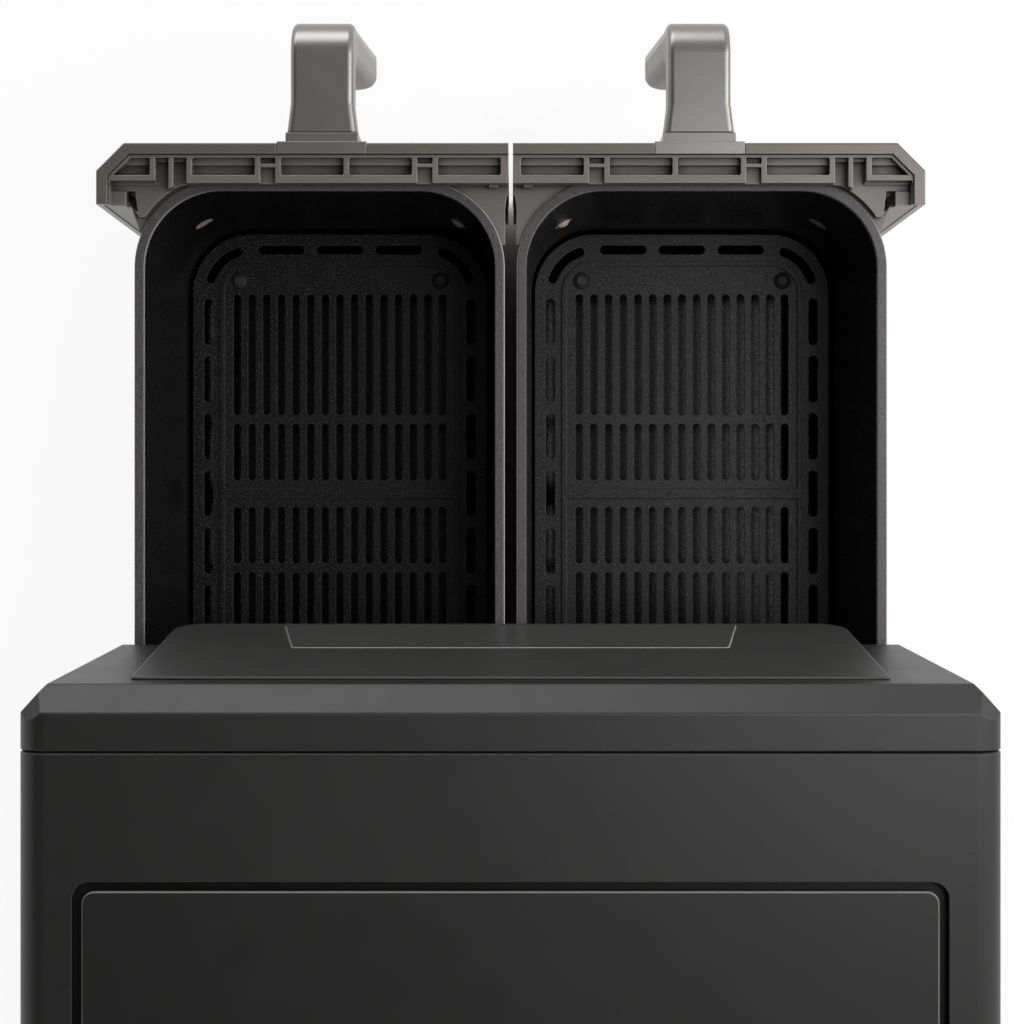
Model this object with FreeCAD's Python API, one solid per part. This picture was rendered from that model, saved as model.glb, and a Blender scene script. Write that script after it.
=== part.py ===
import FreeCAD, Part
import math
import os

# Dual-drawer air fryer, drawn with both drawers pulled out.
# Front is -Y, right (as the user stands) is +X, the counter is Z = 0. Millimetres.

Vector = FreeCAD.Vector

# Housing
HOUSING_WIDTH = 396.0
HOUSING_DEPTH = 326.5
HOUSING_HEIGHT = 305.0
SHELL_WALL = 2.5
REAR_CORNER_RADIUS = 30.0
TOP_EDGE_RADIUS = 12.0
FOOT_HEIGHT = 6.0
FOOT_RADIUS = 11.0
FOOT_STEM_RADIUS = 3.0
FOOT_INSET = 28.0
BASE_FLOOR = 3.0
BASE_SKIRT = 5.0
BASE_FRONT_SETBACK = 8.0
SPIGOT_HEIGHT = 9.0
FIT = 0.3

# Front hood over the drawers
HOOD_HEIGHT = 128.0
HOOD_DEPTH = 33.8
STRIP_DROP = 10.0
STRIP_RUN = 11.0
SLOPE_RUN = 7.8
FOLD_RADIUS = 2.0
CORNER_CHAMFER = 18.0
CORNER_CHAMFER_DEPTH = 20.0
CORNER_BEVEL = 7.0
SEAM_GAP = 0.6
SEAM_BEVEL = 0.8

# Floating panel in the top
RECESS_FRONT = 86.0
RECESS_SIDE = 23.0
RECESS_REAR = 20.0
RECESS_DEPTH = 5.0
RECESS_RADIUS = 7.0
TOP_PANEL_GAP = 3.8
TOP_PANEL_THICKNESS = 3.2
INTAKE_SLOT_LENGTH = 46.0
INTAKE_SLOT_WIDTH = 4.0
INTAKE_SLOT_PITCH = 9.0
INTAKE_SLOT_COUNT = 8

# Control panel on the hood
PANEL_TOP_DROP = 20.0
PANEL_OVERHANG = 2.5
PANEL_PROUD = 9.7
PANEL_TOP_PROUD = 1.2
PANEL_TOP_WIDTH = 311.0
PANEL_TAPER = 1.0
PANEL_CORNER = 14.0
PANEL_WALL = 3.0
WINDOW_HEIGHT = 54.5
WINDOW_TOP_WIDTH = 192.0
WINDOW_LOWER_WIDTH = 210.0
WINDOW_DEPTH = 1.6
WINDOW_EDGE = 0.7
WINDOW_GAP = 0.4
BOARD_THICKNESS = 1.6
BOARD_LIFT = 13.0
DISPLAY_WIDTH = 120.0
DISPLAY_HEIGHT = 22.0

# Drawer front
DRAWER_GAP = 7.0
FASCIA_BOTTOM = 13.0
FASCIA_SIDE = 4.0
FASCIA_CENTRE_GAP = 2.1
FASCIA_CHAMFER = 13.0
FASCIA_RETURN = 28.7
FASCIA_SKIN = 3.0
FASCIA_LIP = 5.2
FASCIA_LIP_HEIGHT = 2.6
FASCIA_EDGE = 0.8
MOULDING_DROP = 1.2
MOULDING_DEPTH = 18.6
MOULDING_HEIGHT = 8.8
MOULDING_WALL = 2.7
POCKET_FLOOR = 1.8
POCKET_RIB = 2.4
POCKET_STEP = 3.0
NOTCH_WIDTH = 7.2
LONG_RIB = 2.0
RIB_THICKNESS = 2.0
CHANNEL_WIDTH = 6.4
CORNER_CELL = 25.0
TAB_SIDE = 6.0
TAB_WIDTH = 4.2
TAB_DEPTH = 1.2
EAR_GAP = 1.6
EAR_SHELF = 2.7
EAR_REACH = 33.5
EAR_TAPER = 1.6
EAR_BOSS_WIDTH = 9.5
EAR_BOSS_DEPTH = 6.6
EAR_HOLE_WIDTH = 4.0
GUSSET_THICKNESS = 3.0
GUSSET_REACH = 46.0

# Basket
RIM_DROP = 10.0
RIM_WIDTH = 4.5
RIM_THICKNESS = 2.0
RIM_CENTRE = 2.8
RIM_SIDE = 20.0
RIM_FRONT = 16.0
RIM_RADIUS = 41.0
BASKET_BOTTOM = 26.0
BASKET_WALL = 1.2
BASKET_DRAFT = 2.0
BASKET_FLOOR_RADIUS = 14.0
BASKET_REAR_CLEARANCE = 1.5
BUMP_RADIUS = 5.0
BUMP_HEIGHT = 2.0
BUMP_SPACING = 128.0
BUMP_LEVEL = 100.0
ENGAGED_LENGTH = 45.0

# Crisper plate
PLATE_LEVEL = 50.0
PLATE_THICKNESS = 1.6
PLATE_MARGIN = 1.6
PLATE_SKIRT = 5.0
BORDER_SLOT_LENGTH = 24.5
BORDER_SLOT_WIDTH = 4.8
BORDER_SLOT_PITCH = 28.4
BORDER_SLOT_INSET = 8.2
BEAD_INSET = 14.3
BEAD_WIDTH = 2.4
BEAD_HEIGHT = 1.6
FIELD_INSET = 19.5
FIELD_SLOT_WIDTH = 4.0
FIELD_SLOT_PITCH = 8.0
FIELD_LONG_SLOT = 64.0
FIELD_SHORT_SLOT = 30.0
FIELD_SLOT_GAP = 4.5
CROSS_RIB_WIDTH = 5.0
CORNER_SLOT_SWEEP = 52.0
PLATE_FOOT_RADIUS = 4.5
PLATE_FOOT_INSET = 24.5
PLATE_FOOT_BUTTON = 1.6

# Handle
HANDLE_SHIFT = 1.9
HANDLE_BASE_WIDTH = 42.0
HANDLE_BASE_HEIGHT = 28.0
HANDLE_NECK_WIDTH = 34.0
HANDLE_NECK = 5.0
HANDLE_ROOT_WIDTH = 33.0
HANDLE_STEM_WIDTH = 29.5
HANDLE_STEM_HEIGHT = 20.0
HANDLE_TOP_DROP = 1.5
HANDLE_REACH = 58.5
HANDLE_LEAN = 8.5
HANDLE_GRIP_THICKNESS = 17.5
HANDLE_GRIP_LENGTH = 118.0
HANDLE_GRIP_WIDTH = 39.0
HANDLE_OUTER_BEND = 17.0
HANDLE_INNER_BEND = 11.0
HANDLE_TIP_CORNER = 16.0
HANDLE_COVER = 5.0
HANDLE_SEAM = 0.5
FOLD_ANGLE = 30.0
HANDLE_EDGE = 3.0
HANDLE_BACK_EDGE = 6.0
HANDLE_SCREW_SPACING = 24.0
HANDLE_SCREW_DROP = 20.0

# Cooking chambers
FRAME_THICKNESS = 3.0
FRAME_POST = 2.8
FRAME_HEADROOM = 6.0
CHAMBER_SHEET = 1.0
CHAMBER_REAR_GAP = 11.5
CHAMBER_SIDE_CLEARANCE = 1.6
CHAMBER_FLOOR = 14.0
CHAMBER_TOP_DROP = 2.0
SKID_WIDTH = 8.0
SKID_INSET = 34.0
GUIDE_THICKNESS = 1.6
GUIDE_WIDTH = 5.0
RUN_CLEARANCE = 0.4
PAN_HEIGHT = 43.0
GUARD_SHEET = 1.0
GUARD_SLOT_LENGTH = 58.0
GUARD_ROW_PITCH = 66.0
GUARD_SLOT_WIDTH = 9.0
GUARD_SLOT_PITCH = 14.0
GUARD_MARGIN = 8.0

# Heating element and fan
HEATER_TUBE_RADIUS = 3.25
HEATER_DROP = 33.0
HEATER_LEG_SPACING = 36.0
HEATER_LEGS = 4
HEATER_LENGTH = 150.0
STRAP_WIDTH = 9.0
STRAP_SHEET = 1.2
STRAP_SPACING = 96.0
BUSH_RADIUS = 5.0
BUSH_FLANGE_RADIUS = 7.0
BUSH_LENGTH = 7.0
SHAFT_RADIUS = 3.0
SHAFT_HOLE_RADIUS = 7.0
HOT_FAN_RADIUS = 58.0
HOT_FAN_BLADES = 10
HOT_FAN_BLADE_HEIGHT = 15.0
HOT_FAN_GAP = 10.0
FAN_SHEET = 1.2
FAN_HUB_RADIUS = 9.0
COOLING_FAN_RADIUS = 42.0
COOLING_FAN_BLADES = 7
COOLING_FAN_HEIGHT = 12.0
COOLING_FAN_GAP = 7.0
BLADE_PITCH = 35.0
BRIDGE_CLEARANCE = 4.0
BRIDGE_SHEET = 2.0
BRIDGE_LENGTH = 92.0
BRIDGE_WIDTH = 56.0
BRIDGE_LEG = 8.0
MOTOR_RADIUS = 27.0
MOTOR_HEIGHT = 38.0
MOTOR_STACK = 18.0
MOTOR_BOSS_RADIUS = 9.0
MOTOR_BOSS_HEIGHT = 4.0
SHAFT_RUN_CLEARANCE = 0.05

# Electronics and rear wall
TRAY_CLEARANCE = 2.0
TRAY_LENGTH = 150.0
TRAY_FLOOR = 2.5
RELAY_SIZE = 16.0
TRAY_POST = 6.0
SWITCH_WIDTH = 6.0
SWITCH_LENGTH = 16.0
SWITCH_HEIGHT = 12.0
SWITCH_LEVEL = 120.0
PLUNGER_RADIUS = 1.5
PLUNGER_STROKE = 1.2
PLUNGER_CLEARANCE = 0.4
SENSOR_RADIUS = 2.0
SENSOR_LENGTH = 26.0
VENT_WIDTH = 110.0
VENT_HEIGHT = 44.0
VENT_DROP = 62.0
VENT_FLANGE = 4.0
VENT_SLATS = 6
VENT_SLAT_LEAN = 2.5
GLAND_RADIUS = 8.0
GLAND_FLANGE_RADIUS = 12.0
GLAND_BORE_RADIUS = 4.0
GLAND_SIDE = 58.0
GLAND_PROUD = 2.5
GLAND_LEVEL = 46.0
SCREW_HEAD_RADIUS = 3.5
SCREW_HEAD_HEIGHT = 2.0
SCREW_SHANK_RADIUS = 1.5
SCREW_LENGTH = 9.0

# Levels and planes that follow from the sizes above
HALF_WIDTH = HOUSING_WIDTH / 2
TOP = HOUSING_HEIGHT
HOOD_BOTTOM = TOP - HOOD_HEIGHT
PANEL_LOWER_WIDTH = PANEL_TOP_WIDTH - 2 * PANEL_TAPER
FASCIA_TOP = HOOD_BOTTOM - DRAWER_GAP
MOULDING_TOP = FASCIA_TOP - MOULDING_DROP
RIM_TOP = FASCIA_TOP - RIM_DROP
RIM_BOTTOM = RIM_TOP - RIM_THICKNESS
CHAMBER_TOP = HOOD_BOTTOM - CHAMBER_TOP_DROP
PAN_BOTTOM = CHAMBER_TOP + GUARD_SHEET
PAN_TOP = PAN_BOTTOM + PAN_HEIGHT
SHELL_BOTTOM = FOOT_HEIGHT + BASE_SKIRT
CHAMBER_REAR = HOUSING_DEPTH - SHELL_WALL - CHAMBER_REAR_GAP
RIM_REAR = CHAMBER_REAR - CHAMBER_SHEET - BASKET_REAR_CLEARANCE
FRAME_FACE = HOOD_DEPTH - FRAME_THICKNESS
DRAWER_PULL = RIM_REAR - FRAME_FACE - ENGAGED_LENGTH
LEAN_RATE = HANDLE_LEAN / HANDLE_GRIP_LENGTH
TIP_ROUNDING = HANDLE_EDGE * (LEAN_RATE + math.hypot(1, LEAN_RATE) - 1)
HANDLE_FRONT = HANDLE_REACH + HANDLE_LEAN - TIP_ROUNDING
TOTAL_LENGTH = HOUSING_DEPTH + GLAND_PROUD + DRAWER_PULL + HANDLE_FRONT
REAR = TOTAL_LENGTH / 2 - GLAND_PROUD
FRONT = REAR - HOUSING_DEPTH
SEAM = FRONT + HOOD_DEPTH
GLAND_X = GLAND_SIDE - HALF_WIDTH
DRAWER_FACE = FRONT - DRAWER_PULL
CHAMBER_INNER = RIM_CENTRE - CHAMBER_SIDE_CLEARANCE
CHAMBER_OUTER = HALF_WIDTH - RIM_SIDE + CHAMBER_SIDE_CLEARANCE
HANDLE_OFFSET = (RIM_CENTRE + HALF_WIDTH - RIM_SIDE) / 2 - HANDLE_SHIFT
CHAMBER_CENTRE = (CHAMBER_INNER + CHAMBER_OUTER) / 2
FAN_Y = FRONT + (HOOD_DEPTH + CHAMBER_REAR) / 2
HOT_FAN_TOP = PAN_TOP - CHAMBER_SHEET - HOT_FAN_GAP
COOLING_FAN_BOTTOM = PAN_TOP + COOLING_FAN_GAP
BRIDGE_TOP = COOLING_FAN_BOTTOM + COOLING_FAN_HEIGHT + BRIDGE_CLEARANCE + BRIDGE_SHEET
MOTOR_TOP = BRIDGE_TOP + MOTOR_HEIGHT
HEATER_LEVEL = PAN_TOP - HEATER_DROP
TRAY_HALF = CHAMBER_CENTRE - BRIDGE_LENGTH / 2 - TRAY_CLEARANCE


def plan(z):
    return lambda a, b: Vector(a, b, z)


def side(x):
    return lambda a, b: Vector(x, a, b)


def front(y):
    return lambda a, b: Vector(a, y, b)


def unit(a, b):
    length = math.hypot(a, b)
    return a / length, b / length


def rounded_wire(corners, place):
    """Closed wire through (a, b, radius) corners, with a tangent arc at each corner that has a radius."""
    cuts = []
    for i, (a, b, radius) in enumerate(corners):
        before = corners[i - 1]
        after = corners[(i + 1) % len(corners)]
        back = unit(before[0] - a, before[1] - b)
        ahead = unit(after[0] - a, after[1] - b)
        if radius <= 0:
            cuts.append(((a, b), None, (a, b)))
            continue
        half = math.acos(back[0] * ahead[0] + back[1] * ahead[1]) / 2
        reach = radius / math.tan(half)
        middle = unit(back[0] + ahead[0], back[1] + ahead[1])
        depth = radius / math.sin(half) - radius
        cuts.append((
            (a + back[0] * reach, b + back[1] * reach),
            (a + middle[0] * depth, b + middle[1] * depth),
            (a + ahead[0] * reach, b + ahead[1] * reach),
        ))
    edges = []
    for i, (start, middle, end) in enumerate(cuts):
        last = cuts[i - 1][2]
        if math.hypot(start[0] - last[0], start[1] - last[1]) > 1e-6:
            edges.append(Part.LineSegment(place(*last), place(*start)).toShape())
        if middle:
            edges.append(Part.Arc(place(*start), place(*middle), place(*end)).toShape())
    return Part.Wire(edges)


def rectangle(a0, a1, b0, b1, radius=0.0):
    return [(a0, b0, radius), (a1, b0, radius), (a1, b1, radius), (a0, b1, radius)]


def plate(corners, z0, z1):
    """Plan outline raised from z0 to z1."""
    return Part.Face(rounded_wire(corners, plan(z0))).extrude(Vector(0, 0, z1 - z0))


def across(corners, x0, x1):
    """Side profile (Y, Z) drawn out from x0 to x1."""
    return Part.Face(rounded_wire(corners, side(x0))).extrude(Vector(x1 - x0, 0, 0))


def along(corners, y0, y1):
    """Front profile (X, Z) drawn out from y0 to y1."""
    return Part.Face(rounded_wire(corners, front(y0))).extrude(Vector(0, y1 - y0, 0))


def block(x0, x1, y0, y1, z0, z1):
    return Part.makeBox(x1 - x0, y1 - y0, z1 - z0, Vector(x0, y0, z0))


def post(x, y, z0, z1, radius):
    return Part.makeCylinder(radius, z1 - z0, Vector(x, y, z0))


def rod(x, z, y0, y1, radius):
    return Part.makeCylinder(radius, y1 - y0, Vector(x, y0, z), Vector(0, 1, 0))


def slot_corners(x, y, length_x, length_y):
    return rectangle(
        x - length_x / 2,
        x + length_x / 2,
        y - length_y / 2,
        y + length_y / 2,
        min(length_x, length_y) / 2,
    )


def pierced(wires, thickness):
    """Sheet from an outline and the holes in it."""
    return Part.makeFace(wires, "Part::FaceMakerBullseye").extrude(Vector(0, 0, thickness))


def fused(shapes):
    return shapes[0].fuse(shapes[1:]).removeSplitter()


def whole(shape):
    """The one solid of a shape."""
    if len(shape.Solids) != 1:
        raise ValueError("expected one solid, found %d" % len(shape.Solids))
    return shape.Solids[0]


def mirrored(shape):
    return shape.mirror(Vector(0, 0, 0), Vector(1, 0, 0))


def both_sides(shapes):
    """Each shape with its mirror image on the other side of the centre plane."""
    return shapes + [mirrored(shape) for shape in shapes]


def edges_where(shape, test):
    return [edge for edge in shape.Edges if test(edge.BoundBox)]


def screw(x, y, z, direction):
    """Pan-head screw whose head sits on the point given and whose shank runs along direction."""
    head = Part.makeCylinder(SCREW_HEAD_RADIUS, SCREW_HEAD_HEIGHT, Vector(x, y, z), direction * -1)
    shank = Part.makeCylinder(SCREW_SHANK_RADIUS, SCREW_LENGTH, Vector(x, y, z), direction)
    return fused([head, shank])


# Base and feet

def housing_outline(inset, front_y):
    """Plan outline of the housing, with round rear corners."""
    half = HALF_WIDTH - inset
    radius = REAR_CORNER_RADIUS - inset
    return [
        (-half, front_y, 0),
        (half, front_y, 0),
        (half, REAR - inset, radius),
        (-half, REAR - inset, radius),
    ]


def foot_places():
    x = HALF_WIDTH - FOOT_INSET
    return [(sx * x, y) for sx in (-1, 1) for y in (SEAM + FOOT_INSET / 2, REAR - FOOT_INSET)]


def base_screw_places():
    x = switch_x()
    return [(sx * x, SEAM + HOUSING_DEPTH * share) for sx in (-1, 1) for share in (0.3, 0.6)]


def chamber_post_places():
    x0 = CHAMBER_INNER + SKID_INSET
    x1 = CHAMBER_OUTER - SKID_INSET
    y0 = SEAM + SKID_INSET
    y1 = FRONT + CHAMBER_REAR - SKID_INSET
    return [(sx * x, y) for sx in (-1, 1) for x in (x0, x1) for y in (y0, y1)]


def base_tray():
    floor_top = FOOT_HEIGHT + BASE_FLOOR
    apron = FRONT + BASE_FRONT_SETBACK
    outline = [
        (-HALF_WIDTH + CORNER_CHAMFER, apron, 0),
        (HALF_WIDTH - CORNER_CHAMFER, apron, 0),
        (HALF_WIDTH, apron + CORNER_CHAMFER_DEPTH, 0),
        (HALF_WIDTH, REAR, REAR_CORNER_RADIUS),
        (-HALF_WIDTH, REAR, REAR_CORNER_RADIUS),
        (-HALF_WIDTH, apron + CORNER_CHAMFER_DEPTH, 0),
    ]
    body = plate(outline, FOOT_HEIGHT, SHELL_BOTTOM)
    wall = SHELL_WALL + FIT
    inset = wall + SHELL_WALL
    spigot = plate(housing_outline(wall, SEAM + wall), FOOT_HEIGHT, SHELL_BOTTOM + SPIGOT_HEIGHT)
    hollow = plate(housing_outline(inset, SEAM + inset), floor_top, SHELL_BOTTOM + SPIGOT_HEIGHT)
    mouth = block(-HALF_WIDTH + inset, HALF_WIDTH - inset, SEAM, SEAM + 2 * inset,
                  SHELL_BOTTOM, SHELL_BOTTOM + SPIGOT_HEIGHT)
    tray = fused([body, spigot]).cut([hollow, mouth])
    posts = [post(x, y, FOOT_HEIGHT, CHAMBER_FLOOR, FOOT_RADIUS) for x, y in chamber_post_places()]
    ribs = [
        block(-HALF_WIDTH + inset, HALF_WIDTH - inset, y, y + RIB_THICKNESS, FOOT_HEIGHT, CHAMBER_FLOOR - FIT)
        for y in (SEAM + HOUSING_DEPTH * 0.28, SEAM + HOUSING_DEPTH * 0.58)
    ]
    head = FOOT_HEIGHT + SCREW_HEAD_HEIGHT
    bosses = [post(x, y, FOOT_HEIGHT, head + SCREW_LENGTH + FIT, SCREW_HEAD_RADIUS + 2 * FIT)
              for x, y in base_screw_places()]
    tray = fused([tray] + posts + ribs + bosses)
    holes = [post(x, y, FOOT_HEIGHT, floor_top, FOOT_STEM_RADIUS) for x, y in foot_places()]
    for x, y in base_screw_places():
        holes.append(post(x, y, FOOT_HEIGHT, head, SCREW_HEAD_RADIUS + FIT))
        holes.append(post(x, y, FOOT_HEIGHT, head + SCREW_LENGTH, SCREW_SHANK_RADIUS))
    return whole(tray.cut(holes))


def rubber_feet():
    feet = []
    for x, y in foot_places():
        pad = Part.makeCone(FOOT_RADIUS, FOOT_RADIUS + 1.5, FOOT_HEIGHT, Vector(x, y, 0))
        stem = post(x, y, 0, FOOT_HEIGHT + BASE_FLOOR, FOOT_STEM_RADIUS)
        feet.append(fused([pad, stem]))
    return feet


def base_screws():
    up = Vector(0, 0, 1)
    return [screw(x, y, FOOT_HEIGHT + SCREW_HEAD_HEIGHT, up) for x, y in base_screw_places()]


# Outer shell, with its top recess, intake slots and rear cut-outs

def recess_outline(gap):
    x = HALF_WIDTH - RECESS_SIDE - gap
    return rectangle(-x, x, FRONT + RECESS_FRONT + gap, REAR - RECESS_REAR - gap, RECESS_RADIUS - gap / 2)


def shell_block(inset, front_y, bottom):
    top = TOP - inset
    solid = plate(housing_outline(inset, front_y), bottom, top)

    def on_top(box):
        return box.ZMin > top - 0.01 and not (box.YMax < front_y + 0.01)

    return solid.makeFillet(TOP_EDGE_RADIUS - inset, edges_where(solid, on_top))


def vent_outline(grow):
    x = VENT_WIDTH / 2 + grow
    z = TOP - VENT_DROP
    half = VENT_HEIGHT / 2 + grow
    return rectangle(CHAMBER_CENTRE - x, CHAMBER_CENTRE + x, z - half, z + half, VENT_FLANGE)


def outer_shell():
    outer = shell_block(0, SEAM + SEAM_GAP, SHELL_BOTTOM)

    def seam_edge(box):
        return box.YMax < SEAM + SEAM_GAP + 0.01

    outer = outer.makeChamfer(SEAM_BEVEL, edges_where(outer, seam_edge))
    inner = shell_block(SHELL_WALL, SEAM - SHELL_WALL, SHELL_BOTTOM - SHELL_WALL)
    recess_floor = TOP - RECESS_DEPTH
    under = plate(recess_outline(-SHELL_WALL), recess_floor - SHELL_WALL, TOP)
    shell = outer.cut(inner.cut(under))
    recess = plate(recess_outline(0), recess_floor, TOP + SHELL_WALL)
    cuts = [recess]
    middle = (INTAKE_SLOT_COUNT - 1) / 2
    for i in range(INTAKE_SLOT_COUNT):
        y = FAN_Y + (i - middle) * INTAKE_SLOT_PITCH
        corners = slot_corners(CHAMBER_CENTRE, y, INTAKE_SLOT_LENGTH, INTAKE_SLOT_WIDTH)
        cuts += both_sides([plate(corners, recess_floor - 2 * SHELL_WALL, TOP)])
    cuts += both_sides([along(vent_outline(0), REAR - 2 * SHELL_WALL, REAR + SHELL_WALL)])
    cuts.append(rod(GLAND_X, GLAND_LEVEL, REAR - 2 * SHELL_WALL, REAR + SHELL_WALL, GLAND_RADIUS))
    return whole(shell.cut(cuts))


def top_inset_panel():
    top = TOP
    bottom = TOP - TOP_PANEL_THICKNESS
    panel = plate(recess_outline(TOP_PANEL_GAP), bottom, top)

    def upper(box):
        return box.ZMin > top - 0.01

    panel = panel.makeFillet(FASCIA_EDGE, edges_where(panel, upper))
    x = HALF_WIDTH - RECESS_SIDE - 2 * FOOT_INSET
    y0 = FRONT + RECESS_FRONT + FOOT_INSET
    y1 = REAR - RECESS_REAR - FOOT_INSET
    places = [(sx * x, y) for sx in (-1, 0, 1) for y in (y0, y1)]
    legs = [post(px, py, TOP - RECESS_DEPTH, bottom, FOOT_RADIUS / 2) for px, py in places]
    return whole(fused([panel] + legs))


def rear_vent():
    outer = along(vent_outline(VENT_FLANGE), REAR, REAR + SHELL_WALL / 2)
    sleeve = along(vent_outline(-FIT), REAR - SHELL_WALL - VENT_FLANGE, REAR)
    hole = along(vent_outline(-FIT - SHELL_WALL), REAR - 2 * VENT_FLANGE - SHELL_WALL, REAR + SHELL_WALL)
    vent = fused([outer, sleeve]).cut(hole)
    slats = []
    low = TOP - VENT_DROP - VENT_HEIGHT / 2
    for i in range(VENT_SLATS):
        z = low + VENT_HEIGHT * (i + 0.5) / VENT_SLATS
        corners = [
            (REAR - SHELL_WALL - VENT_FLANGE, z, 0),
            (REAR, z - VENT_SLAT_LEAN, 0),
            (REAR, z - VENT_SLAT_LEAN + SHELL_WALL / 2, 0),
            (REAR - SHELL_WALL - VENT_FLANGE, z + SHELL_WALL / 2, 0),
        ]
        x = VENT_WIDTH / 2 - FIT - SHELL_WALL / 2
        slats.append(across(corners, CHAMBER_CENTRE - x, CHAMBER_CENTRE + x))
    return whole(fused([vent] + slats))


def cord_gland():
    flange = rod(GLAND_X, GLAND_LEVEL, REAR, REAR + GLAND_PROUD, GLAND_FLANGE_RADIUS)
    sleeve = rod(GLAND_X, GLAND_LEVEL, REAR - SHELL_WALL, REAR, GLAND_RADIUS)
    collar = rod(GLAND_X, GLAND_LEVEL, REAR - 2 * SHELL_WALL, REAR - SHELL_WALL, GLAND_FLANGE_RADIUS - 1)
    bore = rod(GLAND_X, GLAND_LEVEL, REAR - 3 * SHELL_WALL, REAR + 2 * SHELL_WALL, GLAND_BORE_RADIUS)
    return whole(fused([flange, sleeve, collar]).cut(bore))


# Front hood and control panel

def hood_profile(rear):
    fold = TOP - STRIP_DROP
    return [
        (FRONT, HOOD_BOTTOM, 0),
        (FRONT + SLOPE_RUN, fold, FOLD_RADIUS),
        (FRONT + SLOPE_RUN + STRIP_RUN, TOP, FOLD_RADIUS),
        (rear, TOP, 0),
        (rear, HOOD_BOTTOM, 0),
    ]


def hood_block(inset):
    """Hood as a solid, set in from its outer faces by inset and open to the rear when inset."""
    wire = rounded_wire(hood_profile(SEAM + 4 * inset), side(-HALF_WIDTH + inset))
    if inset:
        wire = wire.makeOffset2D(-inset)
    body = Part.Face(wire).extrude(Vector(HOUSING_WIDTH - 2 * inset, 0, 0))
    half = HALF_WIDTH - inset
    radius = TOP_EDGE_RADIUS - inset
    rounding = along(
        [
            (-half, HOOD_BOTTOM - 1, 0),
            (half, HOOD_BOTTOM - 1, 0),
            (half, TOP - inset, radius),
            (-half, TOP - inset, radius),
        ],
        FRONT - HOOD_DEPTH,
        REAR,
    )
    slope = CORNER_CHAMFER / CORNER_CHAMFER_DEPTH
    shift = inset * math.hypot(1, slope)
    start_x = HALF_WIDTH - CORNER_CHAMFER - shift
    chamfer = plate(
        [
            (start_x - slope * HOOD_DEPTH, FRONT - HOOD_DEPTH, 0),
            (start_x + 2 * slope * HOOD_DEPTH, FRONT - HOOD_DEPTH, 0),
            (start_x + 2 * slope * HOOD_DEPTH, FRONT + 2 * HOOD_DEPTH, 0),
        ],
        HOOD_BOTTOM - 1,
        TOP + 1,
    )
    return body.common(rounding).cut(both_sides([chamfer, corner_bevel(inset)]))


def corner_bevel(inset):
    """Block above the bevel that breaks the upper edge of the corner chamfer."""
    outward = Vector(CORNER_CHAMFER_DEPTH, -CORNER_CHAMFER, 0).normalize()
    normal = (outward + Vector(0, 0, 1)).normalize()
    corner = Vector(HALF_WIDTH - CORNER_CHAMFER, FRONT, TOP - CORNER_BEVEL)
    tool = Part.makeBox(HOUSING_WIDTH, HOUSING_WIDTH, HOOD_DEPTH, Vector(-HALF_WIDTH, -HALF_WIDTH, 0))
    tool.Placement = FreeCAD.Placement(corner - normal * inset, FreeCAD.Rotation(Vector(0, 0, 1), normal))
    return tool


def panel_axes():
    """Panel's own frame: origin at the middle of its lower edge, up the panel, and out of it."""
    fold = TOP - STRIP_DROP
    top_z = TOP - PANEL_TOP_DROP
    top_y = FRONT + SLOPE_RUN * (top_z - HOOD_BOTTOM) / (fold - HOOD_BOTTOM) - PANEL_TOP_PROUD
    low_z = HOOD_BOTTOM - PANEL_OVERHANG
    low_y = FRONT - PANEL_PROUD
    length = math.hypot(top_y - low_y, top_z - low_z)
    up_y = (top_y - low_y) / length
    up_z = (top_z - low_z) / length
    matrix = FreeCAD.Matrix(
        1, 0, 0, 0,
        0, up_y, -up_z, low_y,
        0, up_z, up_y, low_z,
        0, 0, 0, 1,
    )
    return FreeCAD.Placement(matrix), length


def on_panel(corners, depth0, depth1):
    """Outline in the panel's frame, drawn out between two heights over the panel's face."""
    placement = panel_axes()[0]
    solid = Part.Face(rounded_wire(corners, plan(depth0))).extrude(Vector(0, 0, depth1 - depth0))
    solid.Placement = placement
    return solid


def panel_outline(inset):
    length = panel_axes()[1]
    low = PANEL_LOWER_WIDTH / 2 - inset
    high = PANEL_TOP_WIDTH / 2 - inset
    return [
        (-low, inset, PANEL_CORNER),
        (low, inset, PANEL_CORNER),
        (high, length - inset, FOLD_RADIUS),
        (-high, length - inset, FOLD_RADIUS),
    ]


def window_outline(grow):
    low = WINDOW_LOWER_WIDTH / 2 + grow
    high = WINDOW_TOP_WIDTH / 2 + grow
    lower_edge = PANEL_WALL - grow
    return [
        (-low, lower_edge, 0),
        (low, lower_edge, 0),
        (high, WINDOW_HEIGHT + grow, PANEL_WALL),
        (-high, WINDOW_HEIGHT + grow, PANEL_WALL),
    ]


def display_outline(grow):
    x = DISPLAY_WIDTH / 2 + grow
    middle = (PANEL_WALL + WINDOW_HEIGHT) / 2
    return rectangle(-x, x, middle - DISPLAY_HEIGHT / 2 - grow, middle + DISPLAY_HEIGHT / 2 + grow)


BOARD_DEPTH = PANEL_PROUD + SHELL_WALL + 2 * PANEL_WALL


def board_outline():
    x = PANEL_LOWER_WIDTH / 2 - 2 * PANEL_CORNER
    return rectangle(-x, x, BOARD_LIFT, WINDOW_HEIGHT + BOARD_LIFT)


def board_posts():
    x = PANEL_LOWER_WIDTH / 2 - 2 * PANEL_CORNER - 2 * PANEL_WALL
    low = BOARD_LIFT + 2 * PANEL_WALL
    return [(sx * x, y) for sx in (-1, 1) for y in (low, WINDOW_HEIGHT + BOARD_LIFT - 2 * PANEL_WALL)]


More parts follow.
